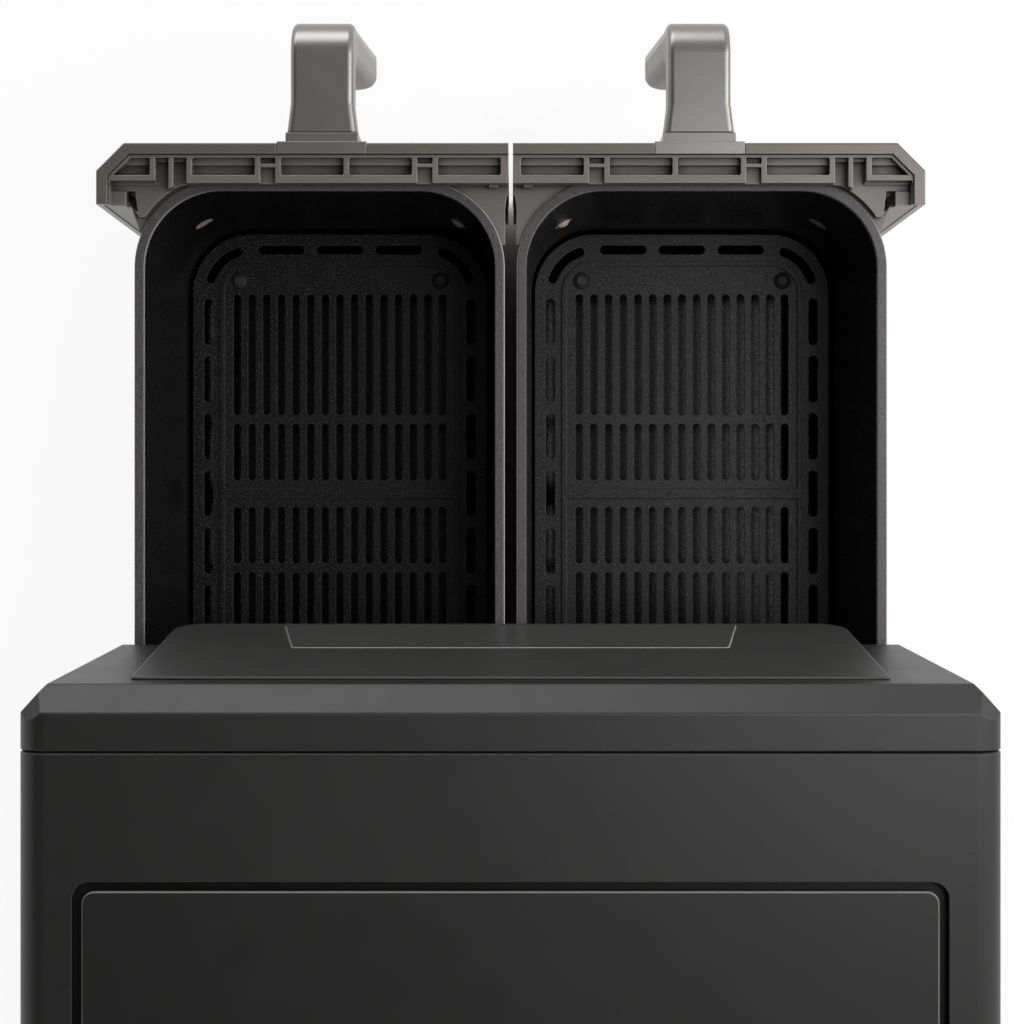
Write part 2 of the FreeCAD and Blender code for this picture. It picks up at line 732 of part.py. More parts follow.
def front_hood():
    outer = hood_block(0)
    inner = hood_block(SHELL_WALL)
    hood = outer.cut(inner)
    opening = on_panel(panel_outline(2 * PANEL_WALL), -2 * BOARD_DEPTH, PANEL_PROUD)
    return whole(hood.cut(opening.common(block(-HALF_WIDTH, HALF_WIDTH, FRONT - HOOD_DEPTH, SEAM,
                                               HOOD_BOTTOM + SHELL_WALL + FIT, TOP))))


def control_panel():
    body = on_panel(panel_outline(0), -2 * BOARD_DEPTH, 0)
    body = body.makeFillet(FASCIA_EDGE, face_edges(body))
    body = body.cut(hood_block(0))
    low = HOOD_BOTTOM - PANEL_OVERHANG
    body = body.cut([
        block(-HALF_WIDTH, HALF_WIDTH, FRONT - HOOD_DEPTH, REAR, 0, low),
        block(-HALF_WIDTH, HALF_WIDTH, FRONT, REAR, 0, HOOD_BOTTOM),
    ])
    pieces = sorted(body.Solids, key=lambda solid: solid.CenterOfMass.y)
    body = pieces[0]
    hollow = on_panel(panel_outline(PANEL_WALL), -2 * BOARD_DEPTH, -PANEL_WALL)
    under = block(-HALF_WIDTH, HALF_WIDTH, FRONT - HOOD_DEPTH, FRONT, 0, HOOD_BOTTOM)
    body = body.cut(hollow.cut(under))
    posts = []
    for x, y in board_posts():
        peg = Part.makeCylinder(PANEL_WALL, BOARD_DEPTH - PANEL_WALL / 2, Vector(x, y, -BOARD_DEPTH))
        peg.Placement = panel_axes()[0].multiply(peg.Placement)
        posts.append(peg)
    body = fused([body] + posts)
    recess = on_panel(window_outline(WINDOW_GAP), -WINDOW_DEPTH, PANEL_WALL)
    through = on_panel(display_outline(FIT), -2 * BOARD_DEPTH, 0)
    return whole(body.cut([recess, through]))


def face_edges(solid):
    """Edges that lie in the panel's face."""
    placement = panel_axes()[0].inverse()
    return [e for e in solid.Edges if all(abs(placement.multVec(v.Point).z) < 0.01 for v in e.Vertexes)]


def display_window():
    lens = on_panel(window_outline(0), -WINDOW_DEPTH, 0)
    return whole(lens.makeChamfer(WINDOW_EDGE, face_edges(lens)))


def control_board():
    return whole(on_panel(board_outline(), -BOARD_DEPTH - BOARD_THICKNESS, -BOARD_DEPTH))


def display_module():
    return whole(on_panel(display_outline(0), -BOARD_DEPTH, -WINDOW_DEPTH))


def front_frame():
    face_y = FRONT + FRAME_FACE
    half = HALF_WIDTH - SEAM_GAP
    body = block(-half, half, face_y, SEAM, SHELL_BOTTOM + FIT, HOOD_BOTTOM - FIT)
    opening = along(
        rectangle(FRAME_POST / 2, CHAMBER_OUTER, CHAMBER_FLOOR + CHAMBER_SHEET,
                  RIM_TOP + FRAME_HEADROOM, FOLD_RADIUS),
        FRONT,
        SEAM + SHELL_WALL,
    )
    plunger = rod(switch_x(), SWITCH_LEVEL, FRONT, SEAM + SHELL_WALL, PLUNGER_RADIUS + FIT)
    return whole(body.cut(both_sides([opening, plunger])))


# Cooking chamber, right-hand side

def chamber():
    y1 = FRONT + CHAMBER_REAR
    outer = block(CHAMBER_INNER - CHAMBER_SHEET, CHAMBER_OUTER + CHAMBER_SHEET, SEAM, y1,
                  CHAMBER_FLOOR, CHAMBER_TOP)
    inner = block(CHAMBER_INNER, CHAMBER_OUTER, SEAM - 1, y1 - CHAMBER_SHEET,
                  CHAMBER_FLOOR + CHAMBER_SHEET, CHAMBER_TOP + 1)
    probe = rod(CHAMBER_CENTRE, sensor_level(), SEAM, REAR, SENSOR_RADIUS)
    return whole(outer.cut([inner, probe]))


def sensor_level():
    return (RIM_TOP + CHAMBER_TOP) / 2


def sensor():
    y1 = FRONT + CHAMBER_REAR
    probe = rod(CHAMBER_CENTRE, sensor_level(), y1 - SENSOR_LENGTH, y1, SENSOR_RADIUS)
    nut = rod(CHAMBER_CENTRE, sensor_level(), y1, y1 + SENSOR_RADIUS, 2 * SENSOR_RADIUS)
    return whole(fused([probe, nut]))


def runners():
    """Two skids under the basket and two guides over its rim."""
    y0 = SEAM
    y1 = FRONT + CHAMBER_REAR - CHAMBER_SHEET
    floor = CHAMBER_FLOOR + CHAMBER_SHEET
    skids = [
        block(x, x + SKID_WIDTH, y0, y1, floor, BASKET_BOTTOM - RUN_CLEARANCE)
        for x in (CHAMBER_INNER + SKID_INSET, CHAMBER_OUTER - SKID_INSET - SKID_WIDTH)
    ]
    low = RIM_TOP + RUN_CLEARANCE
    guides = [
        block(x, x + GUIDE_WIDTH, y0, y1 - SENSOR_LENGTH, low, low + GUIDE_THICKNESS)
        for x in (CHAMBER_INNER, CHAMBER_OUTER - GUIDE_WIDTH)
    ]
    return skids + guides


def heater_pan():
    y1 = FRONT + CHAMBER_REAR
    sheet = CHAMBER_SHEET
    outer = block(CHAMBER_INNER - sheet, CHAMBER_OUTER + sheet, SEAM, y1, PAN_BOTTOM, PAN_TOP)
    inner = block(CHAMBER_INNER, CHAMBER_OUTER, SEAM + sheet, y1 - sheet, PAN_BOTTOM - 1, PAN_TOP - sheet)
    shaft = post(CHAMBER_CENTRE, FAN_Y, PAN_BOTTOM, PAN_TOP + 1, SHAFT_HOLE_RADIUS)
    bushes = [rod(x, HEATER_LEVEL, SEAM + HOOD_DEPTH, REAR, BUSH_RADIUS) for x in heater_ends()]
    return whole(outer.cut([inner, shaft] + bushes))


def heater_guard():
    y1 = FRONT + CHAMBER_REAR
    corners = rectangle(CHAMBER_INNER - CHAMBER_SHEET, CHAMBER_OUTER + CHAMBER_SHEET, SEAM, y1)
    wires = [rounded_wire(corners, plan(CHAMBER_TOP))]
    x0 = CHAMBER_INNER + GUARD_MARGIN
    x1 = CHAMBER_OUTER - GUARD_MARGIN
    for x in spread(x0, x1, GUARD_SLOT_PITCH, GUARD_SLOT_WIDTH):
        for y in spread(SEAM + GUARD_MARGIN, y1 - GUARD_MARGIN, GUARD_ROW_PITCH, GUARD_SLOT_LENGTH):
            corners = rectangle(x - GUARD_SLOT_WIDTH / 2, x + GUARD_SLOT_WIDTH / 2,
                                y - GUARD_SLOT_LENGTH / 2, y + GUARD_SLOT_LENGTH / 2)
            wires.append(rounded_wire(corners, plan(CHAMBER_TOP)))
    return whole(pierced(wires, GUARD_SHEET))


def heater_ends():
    reach = HEATER_LEG_SPACING * (HEATER_LEGS - 1) / 2
    return CHAMBER_CENTRE - reach, CHAMBER_CENTRE + reach


def heater():
    """Tube that runs to and fro under the fan, with both ends through the rear of the pan."""
    first = heater_ends()[0]
    y_rear = FRONT + CHAMBER_REAR + BUSH_LENGTH + FIT
    near = FAN_Y - HEATER_LENGTH / 2
    far = FAN_Y + HEATER_LENGTH / 2
    bend = HEATER_LEG_SPACING / 2
    z = HEATER_LEVEL
    edges = []
    for i in range(HEATER_LEGS):
        x = first + i * HEATER_LEG_SPACING
        start_y, end_y = (far, near) if i % 2 == 0 else (near, far)
        if i == 0:
            start_y = y_rear
        if i == HEATER_LEGS - 1:
            end_y = y_rear
        edges.append(Part.LineSegment(Vector(x, start_y, z), Vector(x, end_y, z)).toShape())
        if i < HEATER_LEGS - 1:
            outward = -bend if i % 2 == 0 else bend
            edges.append(Part.Arc(
                Vector(x, end_y, z),
                Vector(x + bend, end_y + outward, z),
                Vector(x + 2 * bend, end_y, z),
            ).toShape())
    path = Part.Wire(edges)
    circle = Part.Wire(Part.makeCircle(HEATER_TUBE_RADIUS, Vector(first, y_rear, z), Vector(0, 1, 0)))
    return whole(path.makePipeShell([circle], True, False))


def heater_bushes():
    y1 = FRONT + CHAMBER_REAR
    bushes = []
    for x in heater_ends():
        sleeve = rod(x, HEATER_LEVEL, y1 - 2 * CHAMBER_SHEET, y1 + BUSH_LENGTH, BUSH_RADIUS)
        flange = rod(x, HEATER_LEVEL, y1, y1 + 2 * CHAMBER_SHEET, BUSH_FLANGE_RADIUS)
        bore = rod(x, HEATER_LEVEL, y1 - BUSH_LENGTH, y1 + 2 * BUSH_LENGTH,
                   HEATER_TUBE_RADIUS + SHAFT_RUN_CLEARANCE)
        bushes.append(whole(fused([sleeve, flange]).cut(bore)))
    return bushes


def heater_straps():
    """Two straps that hang from the pan and carry the tube."""
    low, high = heater_ends()
    half = HOT_FAN_RADIUS + STRAP_WIDTH
    under = HEATER_LEVEL - HEATER_TUBE_RADIUS - SHAFT_RUN_CLEARANCE
    ceiling = PAN_TOP - CHAMBER_SHEET
    x0 = CHAMBER_CENTRE - max(half, (high - low) / 2 + STRAP_WIDTH)
    x1 = CHAMBER_CENTRE + max(half, (high - low) / 2 + STRAP_WIDTH)
    straps = []
    for y in (FAN_Y - STRAP_SPACING / 2, FAN_Y + STRAP_SPACING / 2):
        outer = block(x0, x1, y - STRAP_WIDTH / 2, y + STRAP_WIDTH / 2, under - STRAP_SHEET, ceiling)
        inner = block(x0 + STRAP_SHEET, x1 - STRAP_SHEET, y - STRAP_WIDTH, y + STRAP_WIDTH, under, ceiling + 1)
        straps.append(whole(outer.cut(inner)))
    return straps


# Fan, motor and bridge, right-hand side

def fan_shaft():
    low = HOT_FAN_TOP - HOT_FAN_BLADE_HEIGHT
    high = MOTOR_TOP + MOTOR_BOSS_HEIGHT
    return whole(post(CHAMBER_CENTRE, FAN_Y, low, high, SHAFT_RADIUS))


def hot_fan():
    """Disc with upright radial blades under it and a hub on the shaft."""
    low = HOT_FAN_TOP - HOT_FAN_BLADE_HEIGHT
    disc = post(CHAMBER_CENTRE, FAN_Y, HOT_FAN_TOP - FAN_SHEET, HOT_FAN_TOP, HOT_FAN_RADIUS)
    hub = post(CHAMBER_CENTRE, FAN_Y, low, HOT_FAN_TOP, FAN_HUB_RADIUS)
    blades = []
    for i in range(HOT_FAN_BLADES):
        blade = block(CHAMBER_CENTRE + FAN_HUB_RADIUS * 2, CHAMBER_CENTRE + HOT_FAN_RADIUS - FAN_SHEET,
                      FAN_Y - FAN_SHEET / 2, FAN_Y + FAN_SHEET / 2, low, HOT_FAN_TOP)
        blade.rotate(Vector(CHAMBER_CENTRE, FAN_Y, 0), Vector(0, 0, 1), i * 360 / HOT_FAN_BLADES)
        blades.append(blade)
    bore = post(CHAMBER_CENTRE, FAN_Y, low - 1, HOT_FAN_TOP + 1, SHAFT_RADIUS)
    return whole(fused([disc, hub] + blades).cut(bore))


def cooling_fan():
    """Axial fan whose pitched blades grow out of the hub."""
    low = COOLING_FAN_BOTTOM
    high = low + COOLING_FAN_HEIGHT
    hub = post(CHAMBER_CENTRE, FAN_Y, low, high, FAN_HUB_RADIUS)
    blades = []
    chord = COOLING_FAN_HEIGHT * 1.2
    for i in range(COOLING_FAN_BLADES):
        blade = block(FAN_HUB_RADIUS - FAN_SHEET, COOLING_FAN_RADIUS, -chord / 2, chord / 2,
                      -FAN_SHEET / 2, FAN_SHEET / 2)
        blade.rotate(Vector(0, 0, 0), Vector(1, 0, 0), BLADE_PITCH)
        blade.rotate(Vector(0, 0, 0), Vector(0, 0, 1), i * 360 / COOLING_FAN_BLADES)
        blade.translate(Vector(CHAMBER_CENTRE, FAN_Y, (low + high) / 2))
        blades.append(blade)
    bore = post(CHAMBER_CENTRE, FAN_Y, low - 1, high + 1, SHAFT_RADIUS)
    return whole(fused([hub] + blades).cut(bore))


def motor_bridge():
    top = BRIDGE_TOP
    x0 = CHAMBER_CENTRE - BRIDGE_LENGTH / 2
    x1 = CHAMBER_CENTRE + BRIDGE_LENGTH / 2
    y0 = FAN_Y - BRIDGE_WIDTH / 2
    y1 = FAN_Y + BRIDGE_WIDTH / 2
    deck = plate(rectangle(x0, x1, y0, y1, FOLD_RADIUS), top - BRIDGE_SHEET, top)
    legs = [
        block(x, x + BRIDGE_SHEET, y, y + BRIDGE_LEG, PAN_TOP, top)
        for x in (x0, x1 - BRIDGE_SHEET)
        for y in (y0 + FOLD_RADIUS, y1 - FOLD_RADIUS - BRIDGE_LEG)
    ]
    hole = post(CHAMBER_CENTRE, FAN_Y, PAN_TOP, top + 1, SHAFT_HOLE_RADIUS)
    return whole(fused([deck] + legs).cut(hole))


def motor():
    """Can, laminated stack and bearing boss."""
    can = post(CHAMBER_CENTRE, FAN_Y, BRIDGE_TOP, MOTOR_TOP, MOTOR_RADIUS)
    middle = (BRIDGE_TOP + MOTOR_TOP) / 2
    half = MOTOR_RADIUS + FAN_SHEET
    stack = plate(
        rectangle(CHAMBER_CENTRE - half, CHAMBER_CENTRE + half, FAN_Y - half, FAN_Y + half, FAN_HUB_RADIUS),
        middle - MOTOR_STACK / 2,
        middle + MOTOR_STACK / 2,
    )
    boss = post(CHAMBER_CENTRE, FAN_Y, MOTOR_TOP, MOTOR_TOP + MOTOR_BOSS_HEIGHT / 2, MOTOR_BOSS_RADIUS)
    bore = post(CHAMBER_CENTRE, FAN_Y, BRIDGE_TOP - 1, TOP, SHAFT_RADIUS + SHAFT_RUN_CLEARANCE)
    return whole(fused([can, stack, boss]).cut(bore))


# Electronics

def board_tray():
    half = TRAY_HALF
    y0 = FAN_Y - TRAY_LENGTH / 2
    y1 = FAN_Y + TRAY_LENGTH / 2
    floor = plate(rectangle(-half, half, y0, y1, FOLD_RADIUS), PAN_TOP, PAN_TOP + TRAY_FLOOR)
    posts = [
        post(sx * (half - TRAY_POST), y, PAN_TOP, PAN_TOP + TRAY_FLOOR + TRAY_POST, TRAY_POST / 2)
        for sx in (-1, 1)
        for y in (y0 + TRAY_POST, y1 - TRAY_POST)
    ]
    return whole(fused([floor] + posts))


def power_board():
    """Board with relays, transformer and capacitors."""
    half = TRAY_HALF - TRAY_FLOOR
    y0 = FAN_Y - TRAY_LENGTH / 2 + TRAY_FLOOR
    y1 = FAN_Y + TRAY_LENGTH / 2 - TRAY_FLOOR
    low = PAN_TOP + TRAY_FLOOR + TRAY_POST
    deck = low + BOARD_THICKNESS
    board = block(-half, half, y0, y1, low, deck)
    relay = RELAY_SIZE
    relays = [
        block(sx * relay - relay / 2, sx * relay + relay / 2, y, y + 1.5 * relay, low, deck + relay)
        for sx in (-1, 1)
        for y in (y0 + relay, y0 + 3 * relay)
    ]
    transformer = block(-relay, relay, y1 - 3 * relay, y1 - relay, low, deck + 1.4 * relay)
    capacitors = [post(sx * 1.5 * relay, y1 - 2 * relay, low, deck + relay, relay / 3) for sx in (-1, 1)]
    return whole(fused([board, transformer] + relays + capacitors))


def switch_x():
    return (CHAMBER_OUTER + CHAMBER_SHEET + HALF_WIDTH - SHELL_WALL) / 2


def plunger_face():
    """Resting face of the switch plunger, just clear of the wing of a closed drawer."""
    return FRONT + FASCIA_RETURN + PLUNGER_CLEARANCE


def drawer_switch():
    x = switch_x()
    body = block(x - SWITCH_WIDTH / 2, x + SWITCH_WIDTH / 2, SEAM, SEAM + SWITCH_LENGTH,
                 SWITCH_LEVEL - SWITCH_HEIGHT / 2, SWITCH_LEVEL + SWITCH_HEIGHT / 2)
    end = SEAM + SWITCH_LENGTH / 2 + PLUNGER_STROKE + FIT
    well = rod(x, SWITCH_LEVEL, SEAM - 1, end, PLUNGER_RADIUS + FIT)
    return whole(body.cut(well))


def plunger():
    pin = rod(switch_x(), SWITCH_LEVEL, plunger_face(), SEAM + SWITCH_LENGTH / 2, PLUNGER_RADIUS)
    return whole(pin)


# Drawer, right-hand side, drawn pulled out

def front_line(inset, rear):
    """Plan points along the drawer front, from the centre gap round the wing to the return's end."""
    outer = HALF_WIDTH - FASCIA_SIDE
    miter = inset * (math.sqrt(2) - 1)
    return [
        (FASCIA_CENTRE_GAP / 2, DRAWER_FACE + inset),
        (outer - FASCIA_CHAMFER - miter, DRAWER_FACE + inset),
        (outer - inset, DRAWER_FACE + FASCIA_CHAMFER + miter),
        (outer - inset, DRAWER_FACE + rear),
    ]


def front_band(inset0, inset1, rear, z0, z1):
    """Band between two lines set in from the drawer's face."""
    points = front_line(inset0, rear) + front_line(inset1, rear)[::-1]
    return plate([(x, y, 0) for x, y in points], z0, z1)


def handle_notch(grow):
    half = HANDLE_BASE_WIDTH / 2 + grow
    return block(HANDLE_OFFSET - half, HANDLE_OFFSET + half, DRAWER_FACE - HANDLE_NECK, DRAWER_FACE + FASCIA_LIP,
                 FASCIA_TOP - HANDLE_BASE_HEIGHT - grow, FASCIA_TOP + 1)


def fascia():
    skin = front_band(0, FASCIA_SKIN, FASCIA_RETURN, FASCIA_BOTTOM, FASCIA_TOP)
    lip = front_band(0, FASCIA_LIP, FASCIA_RETURN, FASCIA_TOP - FASCIA_LIP_HEIGHT, FASCIA_TOP)
    foot = front_band(0, FASCIA_LIP, FASCIA_RETURN, FASCIA_BOTTOM, FASCIA_BOTTOM + FASCIA_LIP_HEIGHT)
    body = fused([skin, lip, foot])
    face = front_line(0, FASCIA_RETURN)

    def outer_edge(edge):
        level = edge.BoundBox.ZMin > FASCIA_TOP - 0.01 or edge.BoundBox.ZMax < FASCIA_BOTTOM + 0.01
        middle = edge.CenterOfMass
        near = min(
            abs((b[0] - a[0]) * (a[1] - middle.y) - (a[0] - middle.x) * (b[1] - a[1])) / math.dist(a, b)
            for a, b in zip(face, face[1:])
        )
        return level and near < 0.01

    body = body.makeFillet(FASCIA_EDGE, [edge for edge in body.Edges if outer_edge(edge)])
    return whole(body.cut(handle_notch(FIT)))


def rim_outline(inset):
    """Plan outline of the basket's rim, set in from its outer edge."""
    return rectangle(
        RIM_CENTRE + inset,
        HALF_WIDTH - RIM_SIDE - inset,
        DRAWER_FACE + RIM_FRONT + inset,
        DRAWER_FACE + RIM_REAR - inset,
        RIM_RADIUS - inset,
    )


def wall_inset(z):
    """How far the inside of the drafted wall stands in from the rim's outer edge at a level."""
    return RIM_WIDTH + (RIM_TOP - z) * math.tan(math.radians(BASKET_DRAFT))


def basket_block(z_bottom, inset, radius):
    wires = [
        rounded_wire(rim_outline(RIM_WIDTH - inset), plan(RIM_TOP)),
        rounded_wire(rim_outline(wall_inset(z_bottom) - inset), plan(z_bottom)),
    ]
    solid = Part.makeLoft(wires, True, True)

    def at_bottom(box):
        return box.ZMax < z_bottom + 0.01

    return solid.makeFillet(radius, edges_where(solid, at_bottom))


def basket_bumps():
    """Domes pressed into the front corners of the wall."""
    middle_x = (RIM_CENTRE + HALF_WIDTH - RIM_SIDE) / 2
    inset = wall_inset(BUMP_LEVEL)
    radius = RIM_RADIUS - inset
    half = (HALF_WIDTH - RIM_SIDE - RIM_CENTRE) / 2 - inset
    swing = math.asin(max(0.0, BUMP_SPACING / 2 - (half - radius)) / radius)
    depth = BUMP_RADIUS - BUMP_HEIGHT
    arc_y = DRAWER_FACE + RIM_FRONT + inset + radius
    y = arc_y - (radius + depth) * math.cos(swing)
    x = half - radius + (radius + depth) * math.sin(swing)
    return [Part.makeSphere(BUMP_RADIUS, Vector(middle_x + sx * x, y, BUMP_LEVEL)) for sx in (-1, 1)]


def basket():
    outer = basket_block(BASKET_BOTTOM, BASKET_WALL, BASKET_FLOOR_RADIUS + BASKET_WALL)
    inner = basket_block(BASKET_BOTTOM + BASKET_WALL, 0, BASKET_FLOOR_RADIUS)
    rim = plate(rim_outline(0), RIM_BOTTOM, RIM_TOP)

    def rim_edge(box):
        flat = box.ZMin > RIM_TOP - 0.01 or box.ZMax < RIM_BOTTOM + 0.01
        return flat

    rim = rim.makeFillet(RIM_THICKNESS / 2 - 0.1, edges_where(rim, rim_edge))
    shell = fused([outer, rim]).cut(inner)
    bumps = [bump.common(inner) for bump in basket_bumps()]
    return whole(fused([shell] + bumps))


def drawer_frame():
    """Ribbed moulding behind the skin: pocketed top beam, front wall, ribs, wing box and rim gussets."""
    top = MOULDING_TOP
    beam_low = top - MOULDING_HEIGHT
    gap = FASCIA_LIP + FIT
    wall0 = FASCIA_SKIN + FIT
    low = FASCIA_BOTTOM + FASCIA_LIP_HEIGHT + FIT
    under_lip = FASCIA_TOP - FASCIA_LIP_HEIGHT - FIT
    inner_end = FASCIA_CENTRE_GAP / 2 + FIT
    outer = HALF_WIDTH - FASCIA_SIDE
    rear_y = DRAWER_FACE + MOULDING_DEPTH
    wing_rear = FASCIA_RETURN - FIT

    front_wall = front_band(wall0, wall0 + MOULDING_WALL, wing_rear, low, under_lip)
    line = front_line(gap, MOULDING_DEPTH)
    beam_outline = [(x, y, 0) for x, y in line] + [(line[0][0], rear_y, 0)]
    beam = plate(beam_outline, beam_low, top)
    solids = [front_wall, beam]

    wing_x = HALF_WIDTH - RIM_SIDE + CHAMBER_SIDE_CLEARANCE
    wing_wall = block(wing_x, outer - wall0, DRAWER_FACE + wing_rear - MOULDING_WALL, DRAWER_FACE + wing_rear,
                      low, RIM_BOTTOM)
    solids.append(wing_wall)

    gusset_low = RIM_BOTTOM - GUSSET_THICKNESS
    inner_gusset = plate(
        [
            (inner_end, DRAWER_FACE + wall0, 0),
            (inner_end + RIM_RADIUS + RIM_WIDTH, DRAWER_FACE + wall0, 0),
            (inner_end + RIM_RADIUS + RIM_WIDTH, rear_y + RIM_RADIUS, 0),
            (FRAME_POST / 2 + FIT + CHAMBER_SHEET, DRAWER_FACE + GUSSET_REACH, 0),
            (FRAME_POST / 2 + FIT + CHAMBER_SHEET, DRAWER_FACE + FASCIA_RETURN, 0),
            (inner_end, DRAWER_FACE + MOULDING_DEPTH, 0),
        ],
        gusset_low,
        RIM_BOTTOM,
    )
    outer_gusset = plate(
        [
            (x, y, 0) for x, y in front_line(wall0, wing_rear)[2:]
        ] + [
            (wing_x, DRAWER_FACE + wing_rear, 0),
            (HALF_WIDTH - RIM_SIDE - RIM_WIDTH, DRAWER_FACE + GUSSET_REACH, 0),
            (HALF_WIDTH - RIM_SIDE - RIM_RADIUS - RIM_WIDTH, rear_y + RIM_RADIUS, 0),
            (HALF_WIDTH - RIM_SIDE - RIM_RADIUS - RIM_WIDTH, DRAWER_FACE + wall0, 0),
            (outer - FASCIA_CHAMFER - wall0, DRAWER_FACE + wall0, 0),
        ],
        gusset_low,
        RIM_BOTTOM,
    )
    wall_clear = plate(rim_outline(RIM_WIDTH - BASKET_WALL - FIT), 0, RIM_BOTTOM + 0.001)
    solids += [inner_gusset.cut(wall_clear), outer_gusset.cut(wall_clear)]
    cell_x, rib_x, channel_x = wing_places()
    floor = beam_low + POCKET_FLOOR
    boss_x = outer - wall0 - EAR_BOSS_WIDTH
    shelf_y = rear_y + EAR_SHELF
    ear = plate(
        [
            (channel_x, rear_y - POCKET_RIB, 0),
            (outer - wall0, rear_y - POCKET_RIB, 0),
            (outer - wall0, shelf_y, 0),
            (boss_x - EAR_HOLE_WIDTH, shelf_y, 0),
            (boss_x - EAR_HOLE_WIDTH - EAR_TAPER, DRAWER_FACE + EAR_REACH, 0),
            (rib_x, DRAWER_FACE + EAR_REACH, 0),
        ],
        RIM_BOTTOM,
        floor,
    )
    boss = block(boss_x, outer - wall0, DRAWER_FACE + wing_rear - EAR_BOSS_DEPTH, DRAWER_FACE + wing_rear,
                 RIM_BOTTOM, floor + POCKET_FLOOR)
    long_rib = block(rib_x, rib_x + LONG_RIB, rear_y - POCKET_RIB, DRAWER_FACE + EAR_REACH, RIM_BOTTOM, top)
    solids.append(fused([ear, boss, long_rib]).cut(plate(rim_outline(-EAR_GAP), 0, TOP)))
    ear_hole = plate(
        [
            (boss_x - EAR_HOLE_WIDTH, shelf_y, 0),
            (boss_x, shelf_y, 0),
            (boss_x, DRAWER_FACE + wing_rear - MOULDING_WALL, 0),
            (boss_x - EAR_HOLE_WIDTH - EAR_TAPER, DRAWER_FACE + EAR_REACH, 0),
        ],
        gusset_low - 1,
        top,
    )
    solids.append(block(TAB_SIDE, TAB_SIDE + TAB_WIDTH, rear_y - POCKET_RIB, rear_y + TAB_DEPTH,
                        beam_low, beam_low + MOULDING_HEIGHT / 2))
    seat = block(inner_end, outer - FASCIA_CHAMFER - FASCIA_LIP, DRAWER_FACE + wall0, rear_y + RIM_WIDTH,
                 gusset_low, RIM_BOTTOM)
    solids.append(seat.cut(wall_clear))

    outer_end = outer - FASCIA_CHAMFER - FASCIA_LIP
    ribs = [inner_end, (inner_end + HANDLE_OFFSET) / 2, HANDLE_OFFSET, (outer_end + HANDLE_OFFSET) / 2, outer_end]
    for x in ribs:
        start = min(x, outer_end - RIB_THICKNESS)
        solids.append(block(start, start + RIB_THICKNESS, DRAWER_FACE + wall0, DRAWER_FACE + RIM_FRONT - FIT,
                            low, gusset_low + FIT))
    solids.append(block(inner_end, outer - FASCIA_CHAMFER - FASCIA_LIP, DRAWER_FACE + wall0,
                        DRAWER_FACE + RIM_FRONT - FIT, low, low + MOULDING_WALL))
    body = fused(solids)

    rim_clear = plate(rim_outline(-FIT), RIM_BOTTOM, RIM_TOP)
    cuts = [rim_clear, ear_hole]
    cuts += beam_pockets(beam_low, top)
    for x in handle_screw_places():
        cuts.append(rod(x, handle_screw_level(), DRAWER_FACE, DRAWER_FACE + RIM_FRONT, SCREW_SHANK_RADIUS))
    return whole(body.cut(cuts))


def wing_places():
    """Inner ends of the corner cell, the long rib and the first channel beside it."""
    cell_x = HALF_WIDTH - FASCIA_SIDE - CORNER_CELL
    rib_x = cell_x - POCKET_RIB - CHANNEL_WIDTH - LONG_RIB
    return cell_x, rib_x, rib_x - CHANNEL_WIDTH


def stepped(outline, ledge, low, top):
    """Pocket with a ledge along its front half and a deep floor behind."""
    step = (low + top) / 2
    y = min(corner[1] for corner in outline) + ledge
    deep = plate(outline, low, top + 1)
    kept = block(0, HALF_WIDTH, DRAWER_FACE, y, 0, step)
    return deep.cut(kept)


def beam_pockets(low, top):
    """Stepped pockets along the beam, two notches open to the rear, two channels and a corner cell."""
    floor = low + POCKET_FLOOR
    step = (floor + top) / 2
    y0 = DRAWER_FACE + FASCIA_LIP + FIT + POCKET_RIB / 2
    y1 = DRAWER_FACE + MOULDING_DEPTH - POCKET_RIB * 1.5
    rear = DRAWER_FACE + EAR_REACH
    cell_x, rib_x, channel_x = wing_places()
    start = FASCIA_CENTRE_GAP / 2 + POCKET_RIB * 1.5
    run = channel_x - POCKET_RIB - start
    pocket = (run - 2 * NOTCH_WIDTH - 5 * POCKET_RIB) / 4
    cuts = []
    x = start
    for kind in ("pocket", "notch", "pocket", "pocket", "notch", "pocket"):
        width = pocket if kind == "pocket" else NOTCH_WIDTH
        if kind == "pocket":
            cuts.append(stepped(rectangle(x, x + width, y0, y1, FOLD_RADIUS / 2), POCKET_STEP, floor, top))
        else:
            cuts.append(block(x, x + width, y0, y0 + POCKET_STEP, step, top + 1))
            cuts.append(block(x, x + width, y0 + POCKET_STEP * 1.5, y1 + MOULDING_DEPTH, step, top + 1))
        x += width + POCKET_RIB
    for x in (channel_x, rib_x + LONG_RIB):
        cuts.append(stepped(rectangle(x, x + CHANNEL_WIDTH, y0, rear), POCKET_STEP / 2, floor, top))
    slant = HALF_WIDTH - FASCIA_SIDE - FASCIA_CHAMFER - (y0 - DRAWER_FACE) * (math.sqrt(2) - 1)
    cell = [
        (cell_x, y0, FOLD_RADIUS / 2),
        (slant, y0, 0),
        (slant + y1 - y0, y1, 0),
        (cell_x, y1, FOLD_RADIUS / 2),
    ]
    cuts.append(stepped(cell, POCKET_STEP, floor, top))
    shelf = rectangle(cell_x - POCKET_RIB, HALF_WIDTH - FASCIA_SIDE - FASCIA_SKIN - FIT - MOULDING_WALL,
                      y1 + POCKET_RIB, rear)
    cuts.append(plate(shelf, floor + POCKET_FLOOR, top + 1))
    return cuts


# Handle

def handle_screw_places():
    return HANDLE_OFFSET - HANDLE_SCREW_SPACING / 2, HANDLE_OFFSET + HANDLE_SCREW_SPACING / 2


def handle_screw_level():
    return FASCIA_TOP - HANDLE_SCREW_DROP


